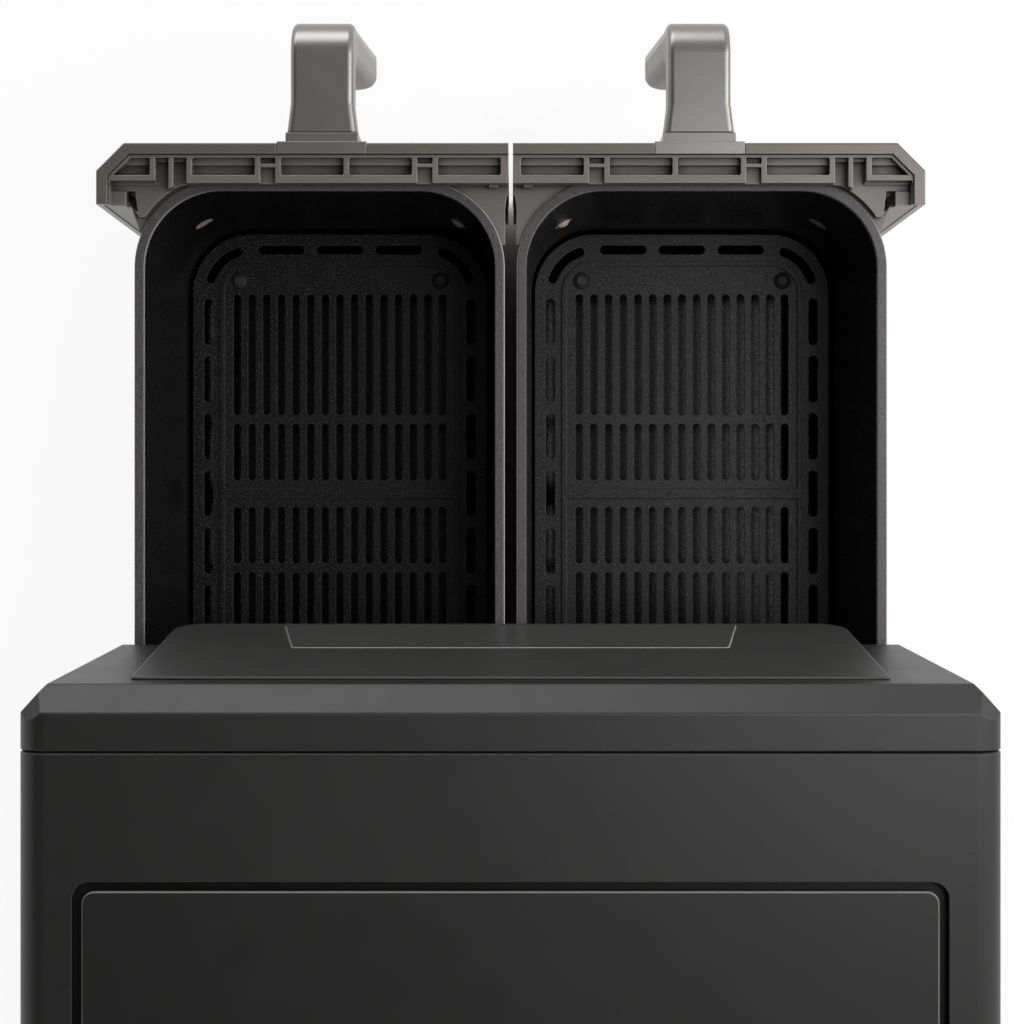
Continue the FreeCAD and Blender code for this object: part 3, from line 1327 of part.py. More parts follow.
def handle_base():
    half = HANDLE_BASE_WIDTH / 2
    low = FASCIA_TOP - HANDLE_BASE_HEIGHT
    backing = block(HANDLE_OFFSET - half, HANDLE_OFFSET + half, DRAWER_FACE - FIT * 2,
                    DRAWER_FACE + FASCIA_SKIN + FIT, low, FASCIA_TOP)
    ledge = block(HANDLE_OFFSET - half, HANDLE_OFFSET + half, DRAWER_FACE, DRAWER_FACE + FASCIA_LIP,
                  FASCIA_TOP - FASCIA_LIP_HEIGHT, FASCIA_TOP)
    neck_half = HANDLE_NECK_WIDTH / 2
    top = FASCIA_TOP - HANDLE_TOP_DROP
    neck = block(HANDLE_OFFSET - neck_half, HANDLE_OFFSET + neck_half, DRAWER_FACE - HANDLE_NECK, DRAWER_FACE,
                 top - HANDLE_STEM_HEIGHT, top)
    body = fused([backing, ledge, neck])

    holes = [
        rod(x, handle_screw_level(), DRAWER_FACE + FASCIA_SKIN + FIT - SCREW_LENGTH + MOULDING_WALL,
            DRAWER_FACE + RIM_FRONT, SCREW_SHANK_RADIUS)
        for x in handle_screw_places()
    ]
    return whole(body.cut(holes))


def handle_profile():
    top = FASCIA_TOP - HANDLE_TOP_DROP
    stem = top - HANDLE_STEM_HEIGHT
    low = top - HANDLE_GRIP_LENGTH
    y = DRAWER_FACE
    return [
        (y - HANDLE_NECK, top, 0),
        (y - HANDLE_REACH, top, HANDLE_OUTER_BEND),
        (y - HANDLE_REACH - HANDLE_LEAN, low, 0),
        (y - HANDLE_REACH - HANDLE_LEAN + HANDLE_GRIP_THICKNESS, low, 0),
        (y - HANDLE_REACH + HANDLE_GRIP_THICKNESS, stem, HANDLE_INNER_BEND),
        (y - HANDLE_NECK, stem, 0),
    ]


def handle_block():
    top = FASCIA_TOP - HANDLE_TOP_DROP
    low = top - HANDLE_GRIP_LENGTH
    stem_half = HANDLE_STEM_WIDTH / 2
    grip_half = HANDLE_GRIP_WIDTH / 2
    knee = top - HANDLE_STEM_HEIGHT - HANDLE_INNER_BEND
    body = across(handle_profile(), HANDLE_OFFSET - grip_half, HANDLE_OFFSET + grip_half)
    face = [
        (HANDLE_OFFSET - stem_half, top + 1, 0),
        (HANDLE_OFFSET - stem_half, knee, HANDLE_GRIP_LENGTH),
        (HANDLE_OFFSET - grip_half, low, HANDLE_TIP_CORNER),
        (HANDLE_OFFSET + grip_half, low, HANDLE_TIP_CORNER),
        (HANDLE_OFFSET + stem_half, knee, HANDLE_GRIP_LENGTH),
        (HANDLE_OFFSET + stem_half, top + 1, 0),
    ]
    grip = body.common(along(face, DRAWER_FACE - 2 * HANDLE_FRONT, DRAWER_FACE))
    root_half = HANDLE_ROOT_WIDTH / 2
    root_y = DRAWER_FACE - HANDLE_NECK
    bend_y = DRAWER_FACE - HANDLE_REACH + HANDLE_GRIP_THICKNESS + 2 * HANDLE_INNER_BEND
    stem = plate(
        [
            (HANDLE_OFFSET - stem_half, bend_y, 0),
            (HANDLE_OFFSET + stem_half, bend_y, 0),
            (HANDLE_OFFSET + root_half, root_y, 0),
            (HANDLE_OFFSET - root_half, root_y, 0),
        ],
        top - HANDLE_STEM_HEIGHT,
        top,
    )
    solid = whole(fused([grip, stem]))
    solid = solid.makeFillet(HANDLE_EDGE, sharp_edges(solid, root_y, True))
    return whole(solid.makeFillet(HANDLE_BACK_EDGE, sharp_edges(solid, root_y, False)))


def sharp_edges(solid, rear, outward):
    """Folded edges in front of a plane, on the outward side of the grip or on the fingers' side."""
    found = []
    for edge in solid.Edges:
        middle = edge.valueAt((edge.FirstParameter + edge.LastParameter) / 2)
        faces = solid.ancestorsOfType(edge, Part.Face)
        normals = [face.normalAt(*face.Surface.parameter(middle)) for face in faces]
        if edge.BoundBox.YMin > rear - 0.01 or len(normals) < 2:
            continue
        folded = normals[0].getAngle(normals[1]) > math.radians(FOLD_ANGLE)
        front = max(max(normal.z, -normal.y) for normal in normals) > math.cos(math.radians(FOLD_ANGLE))
        if folded and front == outward:
            found.append(edge)
    return found


def handle_inner(shift):
    """Side profile that stays behind the cover."""
    top = FASCIA_TOP - HANDLE_TOP_DROP
    y = DRAWER_FACE
    low = top - 2 * HANDLE_GRIP_LENGTH
    lean = 2 * HANDLE_LEAN
    return across(
        [
            (y, top - shift, 0),
            (y - HANDLE_REACH + shift, top - shift, HANDLE_OUTER_BEND - shift),
            (y - HANDLE_REACH - lean + shift, low, 0),
            (y, low, 0),
        ],
        HANDLE_OFFSET - HANDLE_GRIP_WIDTH,
        HANDLE_OFFSET + HANDLE_GRIP_WIDTH,
    )


def handle_core():
    return whole(handle_block().common(handle_inner(HANDLE_COVER)))


def handle_cover():
    cover = handle_block().cut(handle_inner(HANDLE_COVER))
    trim = block(HANDLE_OFFSET - HANDLE_GRIP_WIDTH, HANDLE_OFFSET + HANDLE_GRIP_WIDTH,
                 DRAWER_FACE - HANDLE_NECK - HANDLE_SEAM, DRAWER_FACE, 0, TOP)
    return whole(cover.cut(trim))


def handle_screws():
    back = Vector(0, -1, 0)
    y = DRAWER_FACE + FASCIA_SKIN + FIT + MOULDING_WALL
    return [screw(x, y, handle_screw_level(), back) for x in handle_screw_places()]


# Crisper plate, right-hand side

def plate_outline(inset):
    return rim_outline(wall_inset(PLATE_LEVEL) + PLATE_MARGIN + inset)


def plate_radius():
    return RIM_RADIUS - wall_inset(PLATE_LEVEL) - PLATE_MARGIN


def plate_bounds(inset):
    corners = plate_outline(inset)
    return corners[0][0], corners[1][0], corners[0][1], corners[2][1]


def spread(low, high, pitch, length):
    """Centres of as many copies of a length as fit between two ends, spread evenly."""
    count = int((high - low - length) / pitch) + 1
    gap = (high - low - count * length) / count
    return [low + (length + gap) * (i + 0.5) for i in range(count)]


def border_slots():
    x0, x1, y0, y1 = plate_bounds(BORDER_SLOT_INSET)
    corner = plate_radius() - BORDER_SLOT_INSET
    slots = []
    for y in spread(y0 + corner, y1 - corner, BORDER_SLOT_PITCH, BORDER_SLOT_LENGTH):
        for x in (x0, x1):
            slots.append(slot_corners(x, y, BORDER_SLOT_WIDTH, BORDER_SLOT_LENGTH))
    for x in spread(x0 + corner, x1 - corner, BORDER_SLOT_PITCH, BORDER_SLOT_LENGTH):
        for y in (y0, y1):
            slots.append(slot_corners(x, y, BORDER_SLOT_LENGTH, BORDER_SLOT_WIDTH))
    return slots


def curved_slot(x, y, radius, width, angle, sweep, z):
    """Outline of a round-ended slot bent about a point."""
    def at(r, degrees):
        return Vector(x + r * math.cos(math.radians(degrees)), y + r * math.sin(math.radians(degrees)), z)

    first = angle - sweep / 2
    last = angle + sweep / 2
    cap = math.degrees(width / 2 / radius)
    outer = radius + width / 2
    inner = radius - width / 2
    arcs = [
        Part.Arc(at(outer, first), at(outer, angle), at(outer, last)),
        Part.Arc(at(outer, last), at(radius, last + cap), at(inner, last)),
        Part.Arc(at(inner, last), at(inner, angle), at(inner, first)),
        Part.Arc(at(inner, first), at(radius, first - cap), at(outer, first)),
    ]
    return Part.Wire([arc.toShape() for arc in arcs])


def corner_slots(z):
    x0, x1, y0, y1 = plate_bounds(plate_radius())
    places = [(x0, y0, 225), (x1, y0, 315), (x1, y1, 45), (x0, y1, 135)]
    radius = plate_radius() - BORDER_SLOT_INSET
    width = BORDER_SLOT_WIDTH
    return [curved_slot(x, y, radius, width, angle, CORNER_SLOT_SWEEP, z) for x, y, angle in places]


def field_slots():
    """Columns of short and long slots, mirrored about the cross rib."""
    x0, x1, y0, y1 = plate_bounds(FIELD_INSET)
    middle = (y0 + y1) / 2
    slots = []
    for x in spread(x0, x1, FIELD_SLOT_PITCH, FIELD_SLOT_WIDTH):
        for direction in (-1, 1):
            near = CROSS_RIB_WIDTH / 2 + FIELD_SLOT_GAP
            for length in (FIELD_SHORT_SLOT, FIELD_LONG_SLOT):
                if near + length > y1 - middle:
                    continue
                y = middle + direction * (near + length / 2)
                slots.append(slot_corners(x, y, FIELD_SLOT_WIDTH, length))
                near += length + FIELD_SLOT_GAP
    return slots


def plate_foot_places():
    x0, x1, y0, y1 = plate_bounds(PLATE_FOOT_INSET)
    return [(x, y) for x in (x0, x1) for y in (y0, y1)]


def crisper_plate():
    low = PLATE_LEVEL - PLATE_THICKNESS
    wires = [rounded_wire(plate_outline(0), plan(low))] + corner_slots(low)
    feet = plate_foot_places()
    for corners in border_slots() + field_slots():
        xs = [corner[0] for corner in corners]
        ys = [corner[1] for corner in corners]
        reach = PLATE_FOOT_RADIUS + FIELD_SLOT_GAP / 2
        blocked = any(
            min(xs) - reach < x < max(xs) + reach and min(ys) - reach < y < max(ys) + reach for x, y in feet
        )
        if not blocked:
            wires.append(rounded_wire(corners, plan(low)))
    for x, y in feet:
        wires.append(Part.Wire(Part.makeCircle(PLATE_FOOT_RADIUS / 2, Vector(x, y, low))))
    sheet = pierced(wires, PLATE_THICKNESS)
    skirt = plate(plate_outline(0), low - PLATE_SKIRT, low).cut(
        plate(plate_outline(PLATE_THICKNESS), low - PLATE_SKIRT - 1, low)
    )
    bead = plate(plate_outline(BEAD_INSET), low, PLATE_LEVEL + BEAD_HEIGHT).cut(
        plate(plate_outline(BEAD_INSET + BEAD_WIDTH), low, PLATE_LEVEL + BEAD_HEIGHT + 1)
    )
    x0, x1, y0, y1 = plate_bounds(BEAD_INSET)
    middle = (y0 + y1) / 2
    cross = block(x0 + BEAD_WIDTH / 2, x1 - BEAD_WIDTH / 2, middle - CROSS_RIB_WIDTH / 2,
                  middle + CROSS_RIB_WIDTH / 2, low, PLATE_LEVEL + BEAD_HEIGHT)
    return whole(fused([sheet, skirt, bead, cross]))


def plate_feet():
    """Silicone feet that stand on the basket's floor and button into the plate."""
    feet = []
    low = PLATE_LEVEL - PLATE_THICKNESS
    for x, y in plate_foot_places():
        leg = Part.makeCone(PLATE_FOOT_RADIUS, PLATE_FOOT_RADIUS + 1, low - BASKET_BOTTOM - BASKET_WALL,
                            Vector(x, y, BASKET_BOTTOM + BASKET_WALL))
        stem = post(x, y, low, PLATE_LEVEL, PLATE_FOOT_RADIUS / 2)
        button = Part.makeCone(PLATE_FOOT_RADIUS, PLATE_FOOT_RADIUS / 2, PLATE_FOOT_BUTTON,
                               Vector(x, y, PLATE_LEVEL))
        feet.append(whole(fused([leg, stem, button])))
    return feet


def save(name, shapes):
    if not isinstance(shapes, list):
        shapes = [shapes]
    shape = shapes[0] if len(shapes) == 1 else Part.makeCompound(shapes)
    if not shape.isValid():
        raise ValueError("%s is not a valid solid" % name)
    shape.exportStep("parts/%s.step" % name)


def save_pair(name, shapes):
    """The right-hand piece as drawn, and its mirror image on the left."""
    if not isinstance(shapes, list):
        shapes = [shapes]
    save("right_" + name, shapes)
    save("left_" + name, [mirrored(shape) for shape in shapes])


def save_group(name, shapes):
    """Like pieces of both sides kept together in one node."""
    if not isinstance(shapes, list):
        shapes = [shapes]
    save(name, both_sides(shapes))


def main():
    os.makedirs("parts", exist_ok=True)
    single = {
        "base_tray": base_tray,
        "rubber_feet": rubber_feet,
        "base_screws": base_screws,
        "outer_shell": outer_shell,
        "top_inset_panel": top_inset_panel,
        "cord_gland": cord_gland,
        "front_hood": front_hood,
        "control_panel": control_panel,
        "display_window": display_window,
        "control_board": control_board,
        "display_module": display_module,
        "front_frame": front_frame,
        "board_tray": board_tray,
        "power_board": power_board,
    }
    grouped = {
        "rear_vents": rear_vent,
        "drawer_switches": drawer_switch,
        "temperature_sensors": sensor,
        "heater_bushes": heater_bushes,
        "heater_straps": heater_straps,
        "motor_bridges": motor_bridge,
    }
    paired = {
        "chamber": chamber,
        "runners": runners,
        "heater_pan": heater_pan,
        "heater_guard": heater_guard,
        "heater": heater,
        "fan_shaft": fan_shaft,
        "hot_fan": hot_fan,
        "cooling_fan": cooling_fan,
        "motor": motor,
        "plunger": plunger,
        "fascia": fascia,
        "drawer_frame": drawer_frame,
        "basket": basket,
        "handle_base": handle_base,
        "handle_core": handle_core,
        "handle_cover": handle_cover,
        "handle_screws": handle_screws,
        "crisper_plate": crisper_plate,
        "plate_feet": plate_feet,
    }
    for name, make in single.items():
        save(name, make())
    for name, make in grouped.items():
        save_group(name, make())
    for name, make in paired.items():
        save_pair(name, make())


main()
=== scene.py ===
import math

import bpy
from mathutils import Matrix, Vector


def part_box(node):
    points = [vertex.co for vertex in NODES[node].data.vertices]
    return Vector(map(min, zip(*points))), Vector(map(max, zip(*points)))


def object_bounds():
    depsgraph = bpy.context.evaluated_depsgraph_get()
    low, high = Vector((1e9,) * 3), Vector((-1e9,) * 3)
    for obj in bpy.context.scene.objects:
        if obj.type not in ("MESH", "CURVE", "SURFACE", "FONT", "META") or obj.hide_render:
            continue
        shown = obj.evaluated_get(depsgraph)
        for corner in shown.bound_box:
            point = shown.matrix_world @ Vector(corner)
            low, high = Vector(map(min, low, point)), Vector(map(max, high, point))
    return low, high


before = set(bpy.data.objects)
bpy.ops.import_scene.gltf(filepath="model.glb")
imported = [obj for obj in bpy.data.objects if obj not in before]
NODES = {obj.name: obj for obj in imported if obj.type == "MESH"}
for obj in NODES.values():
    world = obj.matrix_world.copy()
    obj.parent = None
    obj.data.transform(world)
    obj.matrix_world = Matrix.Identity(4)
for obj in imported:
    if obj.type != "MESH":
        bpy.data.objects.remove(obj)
CAD_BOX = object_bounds()

bl_info = {
    "name": "Twin-drawer air fryer",
    "version": (1, 0, 0),
    "blender": (4, 5, 0),
    "location": "3D View > Sidebar > Air fryer",
    "description": "Finishes and stage for a twin-drawer air fryer",
    "category": "Object",
}

SIDES = ("left_", "right_")
FRONT_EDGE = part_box("front_frame")[0].y
UP = (0.0, 0.0, 1.0)
WHITE = (1.0, 1.0, 1.0, 1.0)
FOLD_ANGLE = math.radians(28.0)

CAMERA_X = -0.0006
CAMERA_SETBACK = 0.0923
SENSOR_WIDTH = 36.0
KEY_PLACE, KEY_SIZE = (-0.54, -0.22, 0.78), (0.5, 1.1)
FRONT_PLACE, FRONT_SIZE = (0.42, -1.65, 0.72), (1.4, 0.9)
FLOOR_SIZE = 40.0
FLOOR_WHITE = 0.92
SHADOW_REACH = 0.4
BACKDROP_RADIUS, BACKDROP_HEIGHT, BACKDROP_SIDES = 19.0, 9.0, 96
BACKDROP_STRENGTH = 0.96


def colour(name, description, value):
    return bpy.props.FloatVectorProperty(
        name=name, description=description, default=value, size=3, min=0.0, max=1.0, subtype="COLOR"
    )


def length(name, description, value):
    return bpy.props.FloatProperty(
        name=name, description=description, default=value, min=0.0, unit="LENGTH", precision=5
    )


def factor(name, description, value):
    return bpy.props.FloatProperty(
        name=name, description=description, default=value, min=0.0, max=1.0, subtype="FACTOR"
    )


def power(name, description, value):
    return bpy.props.FloatProperty(name=name, description=description, default=value, min=0.0, unit="POWER")


class FryerFinish(bpy.types.PropertyGroup):
    """Colours and grain of the air fryer's pieces."""

    shell: colour("Shell", "Colour of the housing's outer mouldings", (0.0125, 0.0125, 0.0120))
    panel: colour("Panel", "Colour of the control panel", (0.0270, 0.0270, 0.0262))
    inset: colour("Top panel", "Colour of the floating panel in the top", (0.0095, 0.0095, 0.0091))
    front: colour("Drawer front", "Colour of the drawer skins", (0.121, 0.108, 0.098))
    moulding: colour("Moulding", "Colour of the ribbed mouldings behind the skins", (0.120, 0.111, 0.103))
    handle: colour("Handle", "Colour of the handles", (0.238, 0.230, 0.221))
    grip: colour("Grip", "Colour of the grips", (0.230, 0.218, 0.207))
    coating: colour("Coating", "Colour of the baskets inside", (0.0016, 0.0014, 0.0014))
    rim: colour("Rim", "Colour of the baskets' rims", (0.067, 0.063, 0.064))
    plate: colour("Plate", "Colour of the crisper plates", (0.0022, 0.0021, 0.0020))
    # painted highlight colour on the domes pressed into the baskets' walls
    dome_highlight: colour("Dome", "Colour of the domes pressed into the baskets' walls", (0.620, 0.540, 0.480))
    # the speckle colour, scaled, is also the colour of the painted edge highlights on the baskets and plates
    speckle: colour("Speckle", "Colour of the flecks in the coating", (0.080, 0.079, 0.078))
    window: colour("Window", "Colour of the display window", (0.0460, 0.0460, 0.0450))
    # painted highlight on the display window's chamfered edge
    outline: colour("Outline", "Colour of the window's highlighted edge", (0.300, 0.298, 0.290))
    sheet: colour("Sheet metal", "Colour of the plain sheet metal", (0.520, 0.515, 0.505))
    dark: colour("Inner plastic", "Colour of the inner mouldings", (0.028, 0.028, 0.029))
    board: colour("Board", "Colour of the circuit boards", (0.020, 0.100, 0.045))
    ceramic: colour("Ceramic", "Colour of the ceramic bushes", (0.700, 0.670, 0.600))
    soft: colour("Rubber", "Colour of the feet", (0.018, 0.018, 0.018))
    grain: length("Grain", "Size of the moulded grain", 0.0006)
    fleck: length("Fleck", "Size of the flecks in the coating", 0.0011)
    rim_depth: length("Rim depth", "Height of the baskets' rims", 0.0026)
    # the dome points and reach place the painted highlights on the domes
    dome_inset: length("Dome inset", "Distance from a basket's side to the point before a dome", 0.02815)
    dome_back: length("Dome back", "Distance from a basket's front to the point before a dome", 0.0191)
    dome_drop: length("Dome drop", "Depth of the domes under the rim", 0.0600)
    dome_highlight_reach: length("Dome reach", "How far the paler tone reaches from the points before the domes", 0.0099)
    edge: length("Edge softness", "Radius that edges seem to have in the light", 0.0006)
    shell_roughness: factor("Shell roughness", "Roughness of the housing's mouldings", 0.42)
    handle_roughness: factor("Handle roughness", "Roughness of the handles", 0.30)
    coating_roughness: factor("Coating roughness", "Roughness of the coated metal", 0.22)


class FryerStage(bpy.types.PropertyGroup):
    """Camera and light."""

    camera_height: length("Camera height", "Height of the camera over the counter", 1.085)
    camera_y: bpy.props.FloatProperty(
        name="Camera Y", description="Place of the camera along the drawers' travel",
        default=FRONT_EDGE - CAMERA_SETBACK, unit="LENGTH", precision=4,
    )
    lens: bpy.props.FloatProperty(
        name="Lens", description="Focal length of the camera", default=68.8, min=10.0, unit="CAMERA"
    )
    key: power("Key light", "Power of the soft light over the user's left", 6.6)
    front: power("Front light", "Power of the soft light before the drawers", 14.0)
    horizon: factor("Horizon", "Strength of the light from the sides", 0.72)
    overhead: factor("Overhead", "Strength of the light from straight above", 0.34)
    lean: factor("Lean", "How much more light comes from the user's left than from the right", 0.85)


class Graph:
    """Short way to write a material's nodes."""

    def __init__(self, name):
        self.material = bpy.data.materials.new(name)
        self.material.use_nodes = True
        self.tree = self.material.node_tree
        self.bsdf = self.tree.nodes["Principled BSDF"]

    def put(self, target, value):
        """Links an output to an input, or writes a plain value on it."""
        if isinstance(value, bpy.types.NodeSocket):
            self.tree.links.new(value, target)
        else:
            target.default_value = value

    def node(self, kind, **inputs):
        made = self.tree.nodes.new(kind)
        for key, value in inputs.items():
            self.put(made.inputs[key.replace("_", " ")], value)
        return made

    def place(self):
        return self.node("ShaderNodeTexCoord").outputs["Object"]

    def noise(self, scale, detail=3.0):
        made = self.node("ShaderNodeTexNoise", Vector=self.place(), Scale=scale, Detail=detail, Roughness=0.5)
        return made.outputs["Fac"]

    def cells(self, scale):
        made = self.node("ShaderNodeTexVoronoi", Vector=self.place(), Scale=scale)
        return made.outputs["Distance"]

    def ramp(self, value, low, high, colour_low, colour_high):
        made = self.node("ShaderNodeValToRGB", Fac=value)
        made.color_ramp.elements[0].position = low
        made.color_ramp.elements[1].position = high
        made.color_ramp.elements[0].color = (*colour_low, 1.0)
        made.color_ramp.elements[1].color = (*colour_high, 1.0)
        return made.outputs["Color"]

    def remap(self, value, from_low=0.0, from_high=1.0, low=0.0, high=1.0):
        made = self.node("ShaderNodeMapRange", Value=value, From_Min=from_low, From_Max=from_high,
                         To_Min=low, To_Max=high)
        return made.outputs["Result"]

    def span(self, share, low, high):
        return self.remap(share, low=low, high=high)

    def reckon(self, operation, first, second):
        made = self.node("ShaderNodeMath")
        made.operation = operation
        self.put(made.inputs[0], first)
        self.put(made.inputs[1], second)
        return made.outputs["Value"]

    def measure(self, operation, first, second):
        """One number from two vectors."""
        made = self.node("ShaderNodeVectorMath")
        made.operation = operation
        self.put(made.inputs[0], first)
        self.put(made.inputs[1], second)
        return made.outputs["Value"]

    def mix(self, share, first, second):
        made = self.node("ShaderNodeMix", Factor=share)
        made.data_type = "RGBA"
        for socket, value in zip((made.inputs[6], made.inputs[7]), (first, second)):
            self.put(socket, (*value, 1.0) if isinstance(value, tuple) else value)
        return made.outputs[2]

    def occlusion(self, reach, samples):
        made = self.node("ShaderNodeAmbientOcclusion", Distance=reach)
        made.samples = samples
        return made.outputs["AO"]

    def above(self, level):
        """1 over a height in the piece's own frame, 0 under it."""
        split = self.node("ShaderNodeSeparateXYZ", Vector=self.place())
        return self.reckon("GREATER_THAN", split.outputs["Z"], level)

    def turned(self, facing, cosine):
        """1 where the surface turns away from a direction in the piece's own frame, 0 where it faces it."""
        normal = self.node("ShaderNodeTexCoord").outputs["Normal"]
        return self.reckon("LESS_THAN", self.measure("DOT_PRODUCT", normal, facing), cosine)

    def near(self, points, radius):
        """1 within a radius of one of the points or of its mirror image, 0 elsewhere."""
        spread = self.node("ShaderNodeVectorMath", Vector=self.place())
        spread.operation = "ABSOLUTE"
        least = None
        for point in points:
            gap = self.measure("DISTANCE", spread.outputs["Vector"], [abs(value) for value in point])
            least = gap if least is None else self.reckon("MINIMUM", least, gap)
        return self.reckon("LESS_THAN", least, radius)

    def painted_edge_highlight(self, edge):
        """Mask for a painted highlight: 1 along the edges that stand out, 0 on faces and in corners."""
        soft = self.node("ShaderNodeBevel", Radius=edge)
        face = self.node("ShaderNodeNewGeometry")
        bend = self.measure("DOT_PRODUCT", soft.outputs["Normal"], face.outputs["True Normal"])
        clear = self.occlusion(6.0 * edge, 4)
        return self.reckon("MULTIPLY", self.remap(bend, 0.99, 0.80), self.remap(clear, 0.55, 0.85))

    def open_face(self, reach):
        """Mask for painted shade: 1 on open faces, falling to 0 in corners and narrow recesses."""
        return self.remap(self.occlusion(reach, 6), 0.25, 0.75)

    def bump(self, height, distance, strength, edge):
        soft = self.node("ShaderNodeBevel", Radius=edge)
        made = self.node("ShaderNodeBump", Height=height, Strength=strength, Distance=distance,
                         Normal=soft.outputs["Normal"])
        self.put(self.bsdf.inputs["Normal"], made.outputs["Normal"])

    def show(self, shader):
        self.tree.links.new(shader, self.tree.nodes["Material Output"].inputs["Surface"])

    def finish(self, **values):
        for key, value in values.items():
            self.put(self.bsdf.inputs[key.replace("_", " ")], value)
        return self.material


def scaled(values, amount):
    return tuple(min(1.0, v * amount) for v in values)


def plastic(name, base, roughness, grain, edge, metal=0.0, shine=0.5, painted_highlight=1.0, recess_shade=1.0, fillet_highlight=1.0):
    """Moulded plastic with a fine grain, a slow change of tone and uneven gloss.

    The edge, recess and rounded-edge factors scale the base colour as a painted highlight on sharp edges,
    painted shade in narrow recesses, where reflections also weaken, and a painted highlight on rounded edges.
    """
    graph = Graph(name)
    fine = graph.noise(1.0 / grain, detail=2.0)
    slow = graph.noise(9.0, detail=4.0)
    tone = graph.ramp(slow, 0.3, 0.75, scaled(base, 0.92), scaled(base, 1.08))
    # painted highlight on rounded edges, where the surface turns away from straight up
    if fillet_highlight > 1.0:
        tone = graph.mix(graph.turned(UP, 0.97), tone, scaled(base, fillet_highlight))
    # painted shade: colour and reflection fall in corners, grooves, seams and narrow recesses
    if recess_shade < 1.0:
        clear = graph.open_face(10.0 * edge)
        tone = graph.mix(clear, scaled(base, recess_shade), tone)
        shine = graph.span(clear, shine * recess_shade, shine)
    # painted highlight: the base colour is raised along the edges that stand out
    if painted_highlight > 1.0:
        tone = graph.mix(graph.painted_edge_highlight(edge), tone, scaled(base, painted_highlight))
    gloss = graph.span(graph.noise(60.0), roughness - 0.04, roughness + 0.05)
    graph.bump(fine, grain * 0.06, 0.35, edge)
    return graph.finish(Base_Color=tone, Roughness=gloss, Metallic=metal, Specular_IOR_Level=shine)


def lens(name, base, outline, roughness, grain, edge):
    """Smoked lens with a painted highlight on its chamfered edge."""
    graph = Graph(name)
    slow = graph.noise(12.0, detail=3.0)
    tone = graph.ramp(slow, 0.3, 0.75, scaled(base, 0.94), scaled(base, 1.06))
    faces = [polygon for polygon in NODES["display_window"].data.polygons if polygon.normal.y <= 0.0]
    face = max(faces, key=lambda polygon: polygon.area)
    # painted highlight on the faces that turn away from the window's front
    tone = graph.mix(graph.turned(face.normal, 0.9), tone, tuple(outline))
    gloss = graph.span(graph.noise(40.0), roughness - 0.03, roughness + 0.03)
    graph.bump(graph.noise(1.0 / grain, detail=2.0), grain * 0.03, 0.3, edge)
    return graph.finish(Base_Color=tone, Roughness=gloss, Specular_IOR_Level=0.4)


def coated(name, base, fleck_colour, edge_highlight_colour, roughness, fleck, edge, specular, rim=None, rim_level=0.0,
           dome_highlight=None, domes=(), dome_highlight_reach=0.0):
    """Non-stick coating: near black, with raised flecks, a painted highlight along the edges that stand out and,
    where given, a paler rim with a painted highlight on its rounded edges and painted highlights on the domes.
    """
    graph = Graph(name)
    cells = graph.cells(1.0 / fleck)
    tone = graph.ramp(graph.noise(1.3 / fleck, detail=2.0), 0.54, 0.70, base, fleck_colour)
    gloss = graph.span(cells, roughness - 0.05, roughness + 0.18)
    dome_sheen = 0.0
    if rim is not None:
        flange = graph.above(rim_level)
        speckles = graph.noise(1.4 / fleck, detail=2.0)
        speckles_and_sheen = graph.ramp(speckles, 0.35, 0.65, scaled(rim, 0.7), scaled(rim, 1.3))
        # painted highlight on the rim's rounded edges, where the surface turns away from straight up
        speckles_and_sheen = graph.mix(graph.turned(UP, 0.85), speckles_and_sheen, scaled(rim, 5.0))
        tone = graph.mix(flange, tone, speckles_and_sheen)
        gloss = graph.span(flange, gloss, 0.36)
    if dome_highlight is not None:
        # painted highlight on the domes: a paler, glossier, slightly metallic spot
        painted_highlight = graph.near(domes, dome_highlight_reach)
        tone = graph.mix(painted_highlight, tone, tuple(dome_highlight))
        gloss = graph.span(painted_highlight, gloss, 0.12)
        dome_sheen = graph.span(painted_highlight, 0.0, 0.15)
    # painted highlight along the edges that stand out
    tone = graph.mix(graph.painted_edge_highlight(edge), tone, edge_highlight_colour)
    graph.bump(graph.noise(0.7 / fleck, detail=3.0), fleck * 0.12, 0.4, edge)
    return graph.finish(Base_Color=tone, Roughness=gloss, Metallic=dome_sheen, Specular_IOR_Level=specular)


def metal(name, base, roughness, edge, stretch=30.0):
    """Plain rolled metal with faint streaks along the roll."""
    graph = Graph(name)
    mapping = graph.node("ShaderNodeMapping", Vector=graph.place())
    mapping.inputs["Scale"].default_value = (stretch, 1.0, 1.0)
    streaks = graph.node("ShaderNodeTexNoise", Vector=mapping.outputs["Vector"], Scale=40.0, Detail=3.0)
    tone = graph.ramp(streaks.outputs["Fac"], 0.3, 0.7, scaled(base, 0.88), scaled(base, 1.06))
    gloss = graph.span(streaks.outputs["Fac"], roughness - 0.06, roughness + 0.08)
    graph.bump(streaks.outputs["Fac"], 0.00005, 0.25, edge)
    return graph.finish(Base_Color=tone, Roughness=gloss, Metallic=1.0)


def pair(*names):
    return [side + name for side in SIDES for name in names]


def dress(names, material):
    """Gives CAD nodes a material and smooth shading up to a fold angle."""
    for name in names:
        piece = NODES[name]
        piece.data.materials.clear()
        piece.data.materials.append(material)
        for polygon in piece.data.polygons:
            polygon.use_smooth = True
        split = piece.modifiers.new("Folds", "EDGE_SPLIT")
        split.split_angle = FOLD_ANGLE


def finish_of(context):
    return context.scene.fryer_finish


